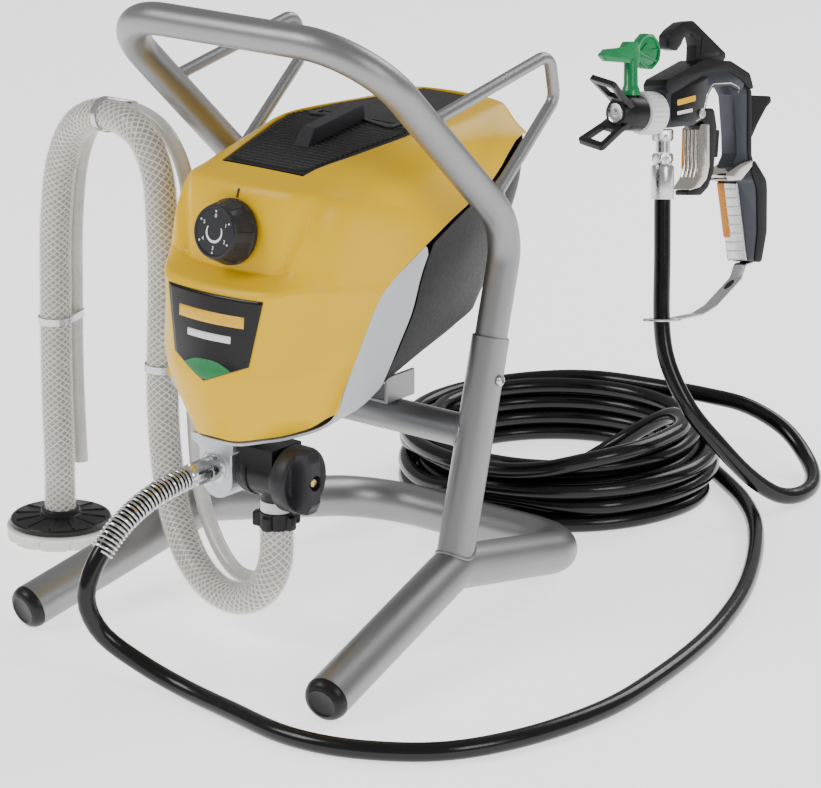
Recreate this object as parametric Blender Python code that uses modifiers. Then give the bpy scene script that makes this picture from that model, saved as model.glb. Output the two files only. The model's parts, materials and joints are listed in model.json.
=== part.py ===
"""Airless paint sprayer on a bent tube stand, with its suction hose, paint hose and spray gun.

Metres, +Z up, and the sprayer faces -Y. The sizes below are in mm, from the floor point midway
between the feet of the uprights. The last step moves everything so that the origin is on the floor
under the middle of the stand and gun together.
"""
import math

import bmesh
import bpy
from mathutils import Euler, Matrix, Vector

MM = 0.001
GAP = 0.3            # clearance left between touching pieces, in mm like every size below

# Driving dimensions of the stand, in mm
HALF_WIDTH = 131.0        # centre plane to each upright
BASE_RADIUS = 18.0
SLEEVE_RADIUS = 15.0
HANDLE_RADIUS = 13.0
HOOK_RADIUS = 5.0
TUBE_WALL = 2.0
FOOT = Vector((156.0, -187.0, 18.0))
APEX = Vector((HALF_WIDTH, 0.0, 63.0))
REAR = Vector((112.0, 199.5, BASE_RADIUS))
SLEEVE_TOP = Vector((HALF_WIDTH, 48.0, 244.0))
BEND = Vector((HALF_WIDTH, 70.4, 328.7))
GRIP = Vector((HALF_WIDTH, -108.0, 497.3))
SCREW_HEIGHT = 212.0
CROSSBAR_HEIGHT = 168.0

# Driving dimensions of the housing and the drive inside it
WALL = 2.5
KNOB_CENTRE = Vector((0.0, -107.4, 340.0))
KNOB_AXIS = Vector((0.0, -0.983, 0.184)).normalized()
KNOB_RADIUS = 26.0
LID_HINGE = Vector((0.0, 52.0, 401.5))
MOTOR_AXIS_HEIGHT = 300.0
TOOTH_MODULE = 1.5
PINION_TEETH = 8
GEAR_TEETH = 40
CRANK_THROW = 8.0
PUMP_X = -15.0
PUMP_Y = -92.0
OUTLET_HEIGHT = 148.0

# Driving dimensions of the hoses
SUCTION_RADIUS = 14.0
RETURN_RADIUS = 6.5
PAINT_HOSE_RADIUS = 7.5
GUARD_RADIUS = 9.8
GUARD_SPANS = 5          # spans of the paint hose that the spring guard covers
COIL_CENTRE = Vector((-36.0, 372.0, 0.0))
COIL_OUTER = 146.0
COIL_INNER = 114.0
COIL_HEIGHT = 62.0
STRAINER = Vector((-290.0, -13.0, 0.0))
STRAINER_RADIUS = 47.0

# The gun has its own frame: muzzle along -Y, up along +Z, origin at the spray orifice
GUN_ORIGIN = Vector((50.0, 330.0, 362.4))
GUN_TURN = Euler((math.radians(-9.5), math.radians(-9.7), math.radians(-6.7)), "XYZ")
ORIGIN_SHIFT = Vector((0.0, -150.0, 0.0))
TRIGGER_PIVOT = Vector((0.0, 96.0, 0.0))
INLET_Y = 60.0

COLLECTION = "airless_paint_sprayer"


def new_collection(name):
    collection = bpy.data.collections.new(name)
    bpy.context.scene.collection.children.link(collection)
    return collection


def material(name, color, roughness, metallic=0.0):
    result = bpy.data.materials.new(name)
    result.use_nodes = True
    shader = result.node_tree.nodes["Principled BSDF"]
    shader.inputs["Base Color"].default_value = (*color, 1.0)
    shader.inputs["Roughness"].default_value = roughness
    shader.inputs["Metallic"].default_value = metallic
    result.diffuse_color = (*color, 1.0)
    return result


for old in list(bpy.data.objects):
    bpy.data.objects.remove(old, do_unlink=True)
PARTS = new_collection(COLLECTION)
CUTTERS = new_collection("cutters")

SILVER = material("silver_paint", (0.36, 0.36, 0.37), 0.38, 0.6)
YELLOW = material("yellow_plastic", (0.9, 0.62, 0.0), 0.4)
PALE_GREY = material("pale_grey_plastic", (0.6, 0.61, 0.63), 0.45)
BLACK = material("black_plastic", (0.02, 0.02, 0.022), 0.5)
DARK_GREY = material("dark_grey_plastic", (0.05, 0.05, 0.06), 0.5)
STEEL = material("plated_steel", (0.6, 0.6, 0.62), 0.25, 1.0)
CAST = material("cast_aluminium", (0.62, 0.63, 0.65), 0.4, 1.0)
BRASS = material("brass", (0.6, 0.42, 0.15), 0.3, 1.0)
WHITE = material("white_plastic", (0.8, 0.8, 0.78), 0.45)
HOSE_CLEAR = material("clear_hose", (0.8, 0.8, 0.74), 0.3)
HOSE_BLACK = material("black_hose", (0.012, 0.012, 0.012), 0.25)
GREEN = material("green_plastic", (0.0, 0.35, 0.14), 0.35)
BOARD = material("board_green", (0.02, 0.18, 0.07), 0.5)


# ---- Making and joining shapes -------------------------------------------------------------------

def add_mesh(name, mesh, mat, collection=None):
    obj = bpy.data.objects.new(name, mesh)
    mesh.materials.append(mat)
    (collection or PARTS).objects.link(obj)
    return obj


def curve_object(name, curve, mat):
    obj = bpy.data.objects.new(name, curve)
    curve.materials.append(mat)
    PARTS.objects.link(obj)
    return obj


def to_mesh(obj, mat):
    """Turn a curve object into a welded mesh object of the same name and place."""
    name = obj.name
    bpy.context.view_layer.update()
    depsgraph = bpy.context.evaluated_depsgraph_get()
    mesh = bpy.data.meshes.new_from_object(obj.evaluated_get(depsgraph))
    matrix = obj.matrix_world.copy()
    bpy.data.objects.remove(obj, do_unlink=True)
    work = bmesh.new()
    work.from_mesh(mesh)
    bmesh.ops.remove_doubles(work, verts=work.verts, dist=0.00001)
    bmesh.ops.recalc_face_normals(work, faces=work.faces)
    work.to_mesh(mesh)
    work.free()
    mesh.materials.clear()
    result = add_mesh(name, mesh, mat)
    result.matrix_world = matrix
    return result


def combine(obj, other, operation):
    """Boolean that keeps the other object as a hidden cutter."""
    for collection in list(other.users_collection):
        collection.objects.unlink(other)
    if other.name not in CUTTERS.objects:
        CUTTERS.objects.link(other)
    other.hide_render = True
    other.display_type = "WIRE"
    modifier = obj.modifiers.new(operation.lower(), "BOOLEAN")
    modifier.operation = operation
    modifier.solver = "EXACT"
    modifier.object = other
    return obj


def cut(obj, *others):
    for other in others:
        combine(obj, other, "DIFFERENCE")
    return obj


def join(obj, *others):
    for other in others:
        combine(obj, other, "UNION")
    return obj


def bevel(obj, width, segments=1, angle=40):
    modifier = obj.modifiers.new("bevel", "BEVEL")
    modifier.width = width * MM
    modifier.segments = segments
    modifier.limit_method = "ANGLE"
    modifier.angle_limit = math.radians(angle)
    return obj


def place(obj, location, axis=None):
    """Put an object at a point in mm, its own +Z turned to the axis."""
    obj.location = Vector(location) * MM
    if axis is not None:
        obj.rotation_mode = "QUATERNION"
        obj.rotation_quaternion = Vector((0, 0, 1)).rotation_difference(Vector(axis))
    return obj


def box(name, low, high, mat, round_edges=0.0):
    mesh = bpy.data.meshes.new(name)
    work = bmesh.new()
    bmesh.ops.create_cube(work, size=1.0)
    low, high = Vector(low), Vector(high)
    bmesh.ops.scale(work, vec=(high - low) * MM, verts=work.verts)
    work.to_mesh(mesh)
    work.free()
    obj = add_mesh(name, mesh, mat)
    obj.location = (low + high) / 2 * MM
    if round_edges:
        bevel(obj, round_edges)
    return obj


def rod(name, start, end, radius, mat, sides=16):
    start, end = Vector(start), Vector(end)
    mesh = bpy.data.meshes.new(name)
    work = bmesh.new()
    bmesh.ops.create_cone(work, cap_ends=True, segments=sides, radius1=radius * MM,
                          radius2=radius * MM, depth=(end - start).length * MM)
    work.to_mesh(mesh)
    work.free()
    return place(add_mesh(name, mesh, mat), (start + end) / 2, end - start)


def turned(name, profile, mat, location=(0, 0, 0), axis=(0, 0, 1), steps=20, closed=False):
    """Turn a profile of (radius, height) about +Z, listed top to bottom on its outer side."""
    mesh = bpy.data.meshes.new(name)
    points = [(radius * MM, 0.0, height * MM) for radius, height in profile]
    edges = [(i, i + 1) for i in range(len(points) - 1)]
    if closed:
        edges.append((len(points) - 1, 0))
    mesh.from_pydata(points, edges, [])
    obj = add_mesh(name, mesh, mat)
    screw = obj.modifiers.new("turn", "SCREW")
    screw.steps = steps
    screw.render_steps = steps
    screw.use_merge_vertices = True
    screw.merge_threshold = 0.00001
    return place(obj, location, axis)


def flat_shape(name, outlines, thickness, mat, location=(0, 0, 0), turn=(0, 0, 0)):
    """Extrude flat outlines, the first one solid and the others holes, about their own plane."""
    curve = bpy.data.curves.new(name, "CURVE")
    curve.dimensions = "2D"
    curve.fill_mode = "BOTH"
    curve.extrude = thickness / 2 * MM
    for outline in outlines:
        spline = curve.splines.new("POLY")
        spline.points.add(len(outline) - 1)
        for point, (x, y) in zip(spline.points, outline):
            point.co = (x * MM, y * MM, 0.0, 1.0)
        spline.use_cyclic_u = True
    obj = curve_object(name, curve, mat)
    obj.location = Vector(location) * MM
    obj.rotation_euler = turn
    return to_mesh(obj, mat)


def tube(name, points, radius, mat, resolution=2, keep_curve=True):
    curve = bpy.data.curves.new(name, "CURVE")
    curve.dimensions = "3D"
    curve.bevel_depth = radius * MM
    curve.bevel_resolution = resolution
    curve.use_fill_caps = True
    curve.resolution_u = 1
    curve.render_resolution_u = 0
    spline = curve.splines.new("POLY")
    spline.points.add(len(points) - 1)
    for point, co in zip(spline.points, points):
        point.co = (*(Vector(co) * MM), 1.0)
    obj = curve_object(name, curve, mat)
    return obj if keep_curve else to_mesh(obj, mat)


def rounded(corners, radii, step_deg=15):
    """A polyline through the corners, with an arc of the given radius at each inner one."""
    points = [Vector(corners[0])]
    for i in range(1, len(corners) - 1):
        before, here, after = (Vector(corners[j]) for j in (i - 1, i, i + 1))
        to_start = (before - here).normalized()
        to_end = (after - here).normalized()
        turn = math.pi - to_start.angle(to_end)
        reach = radii[i - 1] * math.tan(turn / 2)
        middle = (to_start + to_end).normalized()
        centre = here + middle * (radii[i - 1] / math.cos(turn / 2))
        first = here + to_start * reach - centre
        normal = first.cross(here + to_end * reach - centre)
        count = max(2, round(math.degrees(turn) / step_deg))
        for j in range(count + 1):
            points.append(centre + Matrix.Rotation(turn * j / count, 3, normal) @ first)
    points.append(Vector(corners[-1]))
    return points


def smooth_route(points, spacing):
    """Read a Catmull-Rom curve through the points at an even spacing."""
    points = [Vector(p) for p in points]
    padded = [2 * points[0] - points[1], *points, 2 * points[-1] - points[-2]]
    fine = []
    for i in range(1, len(padded) - 2):
        a, b, c, d = padded[i - 1:i + 3]
        for j in range(12):
            t = j / 12
            fine.append(0.5 * (2 * b + (c - a) * t + (2 * a - 5 * b + 4 * c - d) * t * t
                               + (3 * b - a - 3 * c + d) * t ** 3))
    fine.append(points[-1])
    total = sum((q - p).length for p, q in zip(fine, fine[1:]))
    count = max(2, round(total / spacing))
    even, travelled, target = [fine[0]], 0.0, total / count
    for p, q in zip(fine, fine[1:]):
        length = (q - p).length
        while length and travelled + length >= target - 1e-6 and len(even) < count:
            even.append(p.lerp(q, (target - travelled) / length))
            target += total / count
        travelled += length
    even.append(fine[-1])
    return even


def square_ends(route, first=None, last=None):
    """Make a route leave or arrive in a given direction, so that its end cap is square to it."""
    route = list(route)
    if first is not None:
        route.insert(1, route[0] + Vector(first).normalized() * 3)
    if last is not None:
        route.insert(len(route) - 1, route[-1] - Vector(last).normalized() * 3)
    return route


def mirrored(point):
    return Vector((-point[0], point[1], point[2]))


def sheet(name, patches, mat, thickness=WALL):
    """A shell from patches of points given for the +X half, thickened inwards."""
    mesh = bpy.data.meshes.new(name)
    work = bmesh.new()
    for side in (1, -1):
        for rows, skipped in patches:
            grid = [[work.verts.new((side * p[0] * MM, p[1] * MM, p[2] * MM)) for p in row]
                    for row in rows]
            for i in range(len(rows) - 1):
                for j in range(len(rows[0]) - 1):
                    if (i, j) in skipped:
                        continue
                    loop = [grid[i][j], grid[i][j + 1], grid[i + 1][j + 1], grid[i + 1][j]]
                    work.faces.new(loop if side > 0 else loop[::-1])
    bmesh.ops.remove_doubles(work, verts=work.verts, dist=0.00005)
    loose = [v for v in work.verts if not v.link_faces]
    bmesh.ops.delete(work, geom=loose, context="VERTS")
    work.to_mesh(mesh)
    work.free()
    obj = add_mesh(name, mesh, mat)
    solid = obj.modifiers.new("wall", "SOLIDIFY")
    solid.thickness = thickness * MM
    solid.offset = -1.0
    return obj


def star(teeth, inner, outer, centre=(0.0, 0.0), width=0.5, start=0.0):
    """A toothed outline: four points to a tooth, the tip narrower than the root."""
    outline = []
    pitch = 2 * math.pi / teeth
    for i in range(teeth):
        for offset, radius in ((-width / 2, inner), (-width / 4, outer), (width / 4, outer), (width / 2, inner)):
            angle = start + pitch * (i + offset)
            outline.append((centre[0] + radius * math.cos(angle), centre[1] + radius * math.sin(angle)))
    return outline


def circle(radius, count=16, centre=(0.0, 0.0)):
    return [(centre[0] + radius * math.cos(2 * math.pi * i / count),
             centre[1] + radius * math.sin(2 * math.pi * i / count)) for i in range(count)]


def arc(centre, radius, start, end, count):
    """Points of an arc from one angle to another, in degrees."""
    return [(centre[0] + radius * math.cos(math.radians(start + (end - start) * i / count)),
             centre[1] + radius * math.sin(math.radians(start + (end - start) * i / count)))
            for i in range(count + 1)]


# ---- Stand ---------------------------------------------------------------------------------------

def base_route():
    half = [FOOT, APEX, REAR]
    corners = [*half, *(mirrored(p) for p in reversed(half))]
    return rounded(corners, (38.0, 62.0, 62.0, 38.0))


def handle_route():
    lean = (BEND - SLEEVE_TOP).normalized()
    start = SLEEVE_TOP - lean * 58.0
    half = [start, BEND, GRIP]
    corners = [*half, *(mirrored(p) for p in reversed(half))]
    return rounded(corners, (52.0, 62.0, 62.0, 52.0))


def around(radius):
    """Radius of a faceted cutter that clears a faceted tube, whatever way their facets turn."""
    return radius / math.cos(math.pi / 12) + GAP


def hollow_tube(name, route, radius, mat, resolution=4):
    obj = tube(name, route, radius, mat, resolution, keep_curve=False)
    start = (route[0] - route[1]).normalized()
    end = (route[-1] - route[-2]).normalized()
    inner = tube(name + "_bore", [route[0] + start * 5, *route[1:-1], route[-1] + end * 5],
                 radius - TUBE_WALL, mat, resolution, keep_curve=False)
    return cut(obj, inner)


def make_stand():
    base = hollow_tube("base_tube", base_route(), BASE_RADIUS, SILVER)
    handle = hollow_tube("handle_tube", handle_route(), HANDLE_RADIUS, SILVER)
    lean = (BEND - APEX).normalized()
    for side, label in ((1, "right"), (-1, "left")):
        def at(point):
            return Vector((side * point[0], point[1], point[2]))
        # The sleeve stands on the base tube, and the handle tube slides down into it
        sleeve = rod(label + "_upright", at(APEX), at(SLEEVE_TOP), SLEEVE_RADIUS, SILVER, 20)
        socket = rod(label + "_socket", at(SLEEVE_TOP - lean * 62), at(SLEEVE_TOP + lean * 5),
                     around(HANDLE_RADIUS), SILVER, 20)
        saddle = tube(label + "_saddle", [at(p) for p in base_route()[:8]], around(BASE_RADIUS), SILVER, 4, False)
        cut(sleeve, socket, saddle)
        # The clamp screw goes in from the outer side through both tubes
        screw_y = APEX.y + (SCREW_HEIGHT - APEX.z) * lean.y / lean.z
        hole = rod(label + "_screw_hole", (side * HALF_WIDTH, screw_y, SCREW_HEIGHT),
                   (side * (HALF_WIDTH + 20), screw_y, SCREW_HEIGHT), 2.6, SILVER, 12)
        cut(sleeve, hole)
        cut(handle, hole)
        head = SLEEVE_RADIUS + GAP
        turned(label + "_frame_screw", [(0, head + 3.4), (2.4, head + 3.0), (4.3, head + 1.2), (4.5, head),
                                        (2.2, head), (2.2, 8), (0, 8)],
               STEEL, (side * HALF_WIDTH, screw_y, SCREW_HEIGHT), (side, 0, 0), 12)
        # Push-in cap on the tube's front end
        along = (at(FOOT) - at(APEX)).normalized()
        turned(label + "_foot_cap", [(0, 10), (12, 9.4), (15.8, 6.5), (18.0, 2), (18.2, GAP), (15.2, GAP),
                                     (15.2, -18), (0, -18)], BLACK, at(FOOT), along, 20)
        # The hose hook is a bent rod between two points of the sloping arm
        corners = [(HALF_WIDTH, -36.0, 429.5), (HALF_WIDTH, 121.4, 458.8), (HALF_WIDTH, 129.0, 421.5),
                   (HALF_WIDTH, 46.0, 351.7)]
        hook = tube(label + "_hook", [at(p) for p in rounded(corners, (13.0, 13.0), 30)], HOOK_RADIUS,
                    SILVER, 2, False)
        route = handle_route()
        near = route[:12] if side > 0 else route[-12:]
        arm = tube(label + "_arm_cutter", near, around(HANDLE_RADIUS), SILVER, 4, False)
        cut(hook, arm)

    bar_y = APEX.y + (CROSSBAR_HEIGHT - APEX.z) * lean.y / lean.z
    reach = HALF_WIDTH
    bar = rod("crossbar", (-reach, bar_y, CROSSBAR_HEIGHT), (reach, bar_y, CROSSBAR_HEIGHT), 13.5, SILVER, 20)
    for side in (1, -1):
        start = Vector((side * APEX.x, APEX.y, APEX.z))
        cut(bar, rod("bar_cutter_%d" % side, start, start + lean * 200, SLEEVE_RADIUS + GAP, SILVER, 20))
    # Channel bracket under the motor, standing on the crossbar
    low = CROSSBAR_HEIGHT + 13.5 + GAP
    outline = [(-56, low), (56, low), (56, 204), (53, 204), (53, low + 3), (-53, low + 3), (-53, 204), (-56, 204)]
    flat_shape("motor_bracket", [outline], 36.0, SILVER, (0, bar_y, 0), (math.pi / 2, 0, 0))


# ---- Housing -------------------------------------------------------------------------------------
# Each row runs from the centre plane out to the side, and the rows go from the nose up over the top

COVER_ROWS = [
    [(0, -137, 181), (18, -134, 180), (38, -112, 181), (60, -96, 188), (88, -93, 207)],
    [(0, -143, 200), (24, -138, 200), (48, -121, 201), (72, -103, 207), (89.5, -86, 222)],
    [(0, -146, 228), (34, -139, 230), (58, -124, 231), (79, -102, 234), (90.5, -74, 240)],
    [(0, -143, 245), (39, -136, 244), (62, -120, 247), (82, -98, 250), (91, -64, 256)],
    [(0, -136, 297), (50, -130, 299), (69, -112, 303), (84, -88, 301), (91.5, -38, 292)],
    [(0, -132, 302.5), (48, -127.5, 304), (69, -110, 307), (84.5, -83, 305), (91.4, -30, 296)],
    [(0, -112, 311), (42, -111, 313), (64, -107, 319), (84.3, -78, 319), (91.2, -18, 302.5)],
    [(0, -107.6, 341), (44, -105, 342), (66, -100, 344), (84, -72, 336), (91, -5, 309)],
    [(0, -101, 374), (46, -97, 375), (66, -86, 372), (83, -58, 358), (90, 25, 321)],
    [(0, -77, 385), (42, -75, 384), (62, -66, 380), (80, -38, 366), (89, 50, 331)],
    [(0, -22, 394), (53, -22, 393), (67, -15, 389), (82, 0, 371), (88, 72, 338.5)],
    [(0, 29, 401), (63, 29, 400), (73, 35, 395), (83, 45, 376), (85, 93, 345)],
    [(0, 75, 403), (52, 75, 402), (66, 80, 397), (78, 90, 379), (82, 114, 351)],
    [(0, 167, 403), (31, 167, 402), (46, 167, 400), (62, 167, 387), (74, 166, 379)],
    [(0, 173, 402), (31, 173, 401), (46, 173, 399), (61, 172, 386), (73, 171, 378)],
]
LID_OPENING = {(9, 0), (10, 0), (11, 0), (12, 0)}

BAND_ROWS = [
    [(90.2, 17, 317.2), (89.6, 20, 314), (89.2, 21, 309)],
    [(91, -6, 308), (90.5, 5, 301), (88.6, 13, 294)],
    [(91.5, -38.6, 291), (91, -18, 281), (88, 3, 268)],
    [(91, -64.6, 255), (90, -38, 250), (85.5, -12, 241)],
    [(89.5, -84.5, 220), (88, -55, 219), (81.5, -23, 218)],
    [(87, -90.5, 203), (84, -60, 202), (78, -27, 208)],
    [(59, -94, 183), (58, -60, 191), (56, -26, 204)],
    [(37, -110, 176.5), (36, -66, 187), (35, -26, 203)],
    [(18, -132, 175.5), (18, -72, 185), (18, -26, 202)],
    [(0, -135, 176), (0, -72, 184), (0, -26, 202)],
]

REAR_SIDE = [
    [(89.2, 28, 317.2), (88.7, 15, 294), (88.2, 5, 268), (85.6, -10, 241), (79, -24, 212)],
    [(88, 72.5, 335.6), (88.5, 68, 308), (86, 60, 278), (82, 50, 250), (76, 42, 229)],
    [(82, 115, 347.5), (83, 112, 320), (80, 104, 288), (76, 94, 262), (70, 84, 236)],
    [(74, 164, 374), (73.5, 163, 350), (70, 150, 308), (66, 132, 270), (60, 118, 240)],
    [(61, 174, 381.5), (58, 174, 352), (54, 162, 308), (50, 142, 268), (46, 124, 238)],
    [(31, 175.5, 396.5), (30, 177, 352), (28, 165, 308), (26, 145, 268), (24, 126, 237)],
    [(0, 175.5, 397.5), (0, 178, 352), (0, 166, 308), (0, 146, 268), (0, 127, 237)],
]
UNDERSIDE = [
    [(79, -24, 212), (58, -24, 205), (31, -24, 203), (0, -24, 202)],
    [(76, 42, 229), (58, 42, 222), (31, 42, 218), (0, 42, 217)],
    [(70, 84, 236), (54, 84, 230), (29, 84, 227), (0, 84, 226)],
    [(60, 118, 240), (46, 124, 238), (24, 126, 237), (0, 127, 237)],
]


def deck_surface(y):
    """Height of the top deck at a depth."""
    stops = [(-77, 384.6), (-22, 393.5), (29, 400.5), (75, 402.5), (167, 402.5)]
    for (y0, z0), (y1, z1) in zip(stops, stops[1:]):
        if y <= y1:
            return z0 + (z1 - z0) * (y - y0) / (y1 - y0)
    return stops[-1][1]


def deck_edge(y):
    """Half width of the opening in the top of the cover at a depth."""
    stops = [(-75, 42), (-22, 53), (29, 63), (75, 52), (167, 31)]
    for (y0, w0), (y1, w1) in zip(stops, stops[1:]):
        if y <= y1:
            return w0 + (w1 - w0) * (y - y0) / (y1 - y0)
    return stops[-1][1]


def deck_rows(depths, inset):
    rows = []
    for y in depths:
        edge = deck_edge(y) - inset
        rows.append([(0, y, deck_surface(y)), (edge * 0.55, y, deck_surface(y)), (edge, y, deck_surface(y) - 0.6)])
    return rows


def make_housing():
    cover = sheet("front_cover", [(COVER_ROWS, LID_OPENING)], YELLOW)
    cut(cover, rod("knob_hole", KNOB_CENTRE - KNOB_AXIS * 20, KNOB_CENTRE + KNOB_AXIS * 20, 6.0, YELLOW))
    band = sheet("side_band", [(BAND_ROWS, set())], PALE_GREY)
    cut(band, box("pump_opening", (PUMP_X - 16, PUMP_Y - 15, 150), (PUMP_X + 16, PUMP_Y + 15, 230), BLACK))
    rear = sheet("rear_housing", [(REAR_SIDE, set()), (UNDERSIDE, set())], BLACK)
    cut(rear, box("inlet_cutout", (-20.5, 140, 298.5), (8.5, 190, 321.5), BLACK),
        box("switch_cutout", (19.5, 140, 299.5), (34.5, 190, 320.5), BLACK))

    # Hinged lid at the front of the top deck, with its raised finger tongue
    lid = sheet("storage_lid", [(deck_rows((-73, -22, 29, 51), 1.2), set())], BLACK, 3.0)
    tongue = [(-30, deck_surface(-30) - 1.5), (-17, deck_surface(-17) + 12), (44, deck_surface(44) + 13),
              (50, deck_surface(50) - 1.5)]
    join(lid, flat_shape("lid_tongue", [tongue], 14.0, BLACK, turn=(math.pi / 2, 0, math.pi / 2)))
    # Fixed deck behind it
    sheet("rear_deck", [(deck_rows((53, 75, 120, 165.5), 1.2), set())], BLACK, 3.0)
    # Tray under the lid for spare tips
    tray = box("storage_tray", (-38, -66, 356), (38, 44, 379), DARK_GREY)
    cut(tray, box("tray_space", (-35.5, -63.5, 358.5), (35.5, 41.5, 400), DARK_GREY))

    # Name plate on the nose, left blank
    plate = [Vector(p) for p in ((0, -146, 229.5), (36.5, -136.3, 245), (47, -130.4, 298), (0, -136, 296))]
    work = bmesh.new()
    lift = Vector((0, -1.0, 0))
    verts = [work.verts.new((p + lift) * MM) for p in plate]
    verts += [work.verts.new((mirrored(plate[i]) + lift) * MM) for i in (1, 2)]
    low, right, top_right, top, left, top_left = verts
    middle = work.verts.new((Vector((0, -143.3, 244.5)) + lift) * MM)
    for loop in ((low, right, middle), (middle, right, top_right, top), (low, middle, left),
                 (middle, top, top_left, left)):
        work.faces.new(loop)
    mesh = bpy.data.meshes.new("label_plate")
    work.to_mesh(mesh)
    work.free()
    label = add_mesh("label_plate", mesh, BLACK)
    skin = label.modifiers.new("plate", "SOLIDIFY")
    skin.thickness = 0.8 * MM
    skin.offset = 1.0

    # Pressure control behind the nose, its shaft through the cover into the knob
    turned("pressure_control", [(0, 12), (3, 12), (3, -12), (12, -12), (12, -34), (0, -34)], STEEL,
           KNOB_CENTRE, KNOB_AXIS, 16)
    base = 3.0
    turned("pressure_knob", [(0, 25), (18.5, 25), (20.5, 23.5), (21.5, 18), (KNOB_RADIUS - 1.5, 14),
                             (KNOB_RADIUS, 11), (KNOB_RADIUS, base), (3.3, base), (3.3, 12.5), (0, 12.5)],
                  DARK_GREY, KNOB_CENTRE, KNOB_AXIS, 24)

    # Rear wall fittings: the mains inlet and the rocker switch
    inlet = box("power_inlet", (-20, 148, 299), (8, 173, 321), BLACK)
    cut(inlet, box("inlet_socket", (-17.5, 156, 301.5), (5.5, 190, 318.5), BLACK))
    rocker = [(-1, 8.6), (-4, 0), (-1, -8.6), (6.0, -8.6), (4.0, 0), (2.6, 8.6)]
    flat_shape("power_switch", [rocker], 13.0, DARK_GREY, (27, 167, 310), (math.pi / 2, 0, math.pi / 2))


def make_drive():
    """Motor, gears, crank and piston that stand in the housing."""
    height = MOTOR_AXIS_HEIGHT
    # Motor case, open at both ends for the shaft, and the turning armature with its shaft
    turned("motor_case", [(38, 48), (38, -48), (9, -48), (9, -45), (35, -45), (35, 45), (9, 45), (9, 48)],
           STEEL, (PUMP_X, 8, height), (0, 1, 0), 24, closed=True)
    armature = turned("armature", [(0, 84), (4, 84), (4, 36), (25, 36), (25, -36), (4, -36), (4, -84), (0, -84)],
                      STEEL, (PUMP_X, 8, height), (0, 1, 0), 20)
    fan = star(9, 14, 32, width=0.55)
    flat_shape("cooling_fan", [fan, circle(4.3, 16)], 9.0, BLACK, (PUMP_X, 84, height), (math.pi / 2, 0, 0))
    # Spur gears in mesh: pitch radii are half the module times the teeth
    pinion_pitch = TOOTH_MODULE * PINION_TEETH / 2
    gear_pitch = TOOTH_MODULE * GEAR_TEETH / 2
    gear_height = height - pinion_pitch - gear_pitch
    pinion = star(PINION_TEETH, pinion_pitch - 1.6, pinion_pitch + 1.0, width=0.46, start=math.pi / 2)
    join(armature, flat_shape("pinion", [pinion], 9.0, STEEL, (PUMP_X, -67, height), (math.pi / 2, 0, 0)))
    gear = star(GEAR_TEETH, gear_pitch - 1.7, gear_pitch + 1.0, width=0.46, start=math.pi / 2 + math.pi / GEAR_TEETH)
    wheel = flat_shape("drive_gear", [gear, circle(5.4, 16)], 8.0, STEEL, (PUMP_X, -67, gear_height),
                       (math.pi / 2, 0, 0))
    top = gear_height - CRANK_THROW
    join(wheel, rod("crank_pin", (PUMP_X, -70, top), (PUMP_X, -86, top), 4.0, STEEL))
    turned("gear_shaft", [(0, 22), (4.9, 22), (4.9, 0), (14, 0), (14, -4), (0, -4)], STEEL,
           (PUMP_X, -47, gear_height), (0, -1, 0), 16)
    # The rod hangs on the crank pin; its lower eye stands in front of the piston's head
    eye = top - 30
    outline = [*arc((0, top), 8, 20, 160, 6), *arc((0, eye), 13, 160, 380, 10)]
    flat_shape("connecting_rod", [outline, circle(4.08, 16, (0, top)), circle(10, 16, (0, eye))], 8.0, CAST,
               (PUMP_X, -79, 0), (math.pi / 2, 0, 0))
    turned("piston", [(0, eye - 26), (5, eye - 26), (5, 140), (0, 140)], STEEL, (PUMP_X, PUMP_Y, 0), steps=14)
    box("circuit_board", (-34, 62, 345), (34, 150, 347), BOARD)


# ---- Pump ----------------------------------------------------------------------------------------

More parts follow.
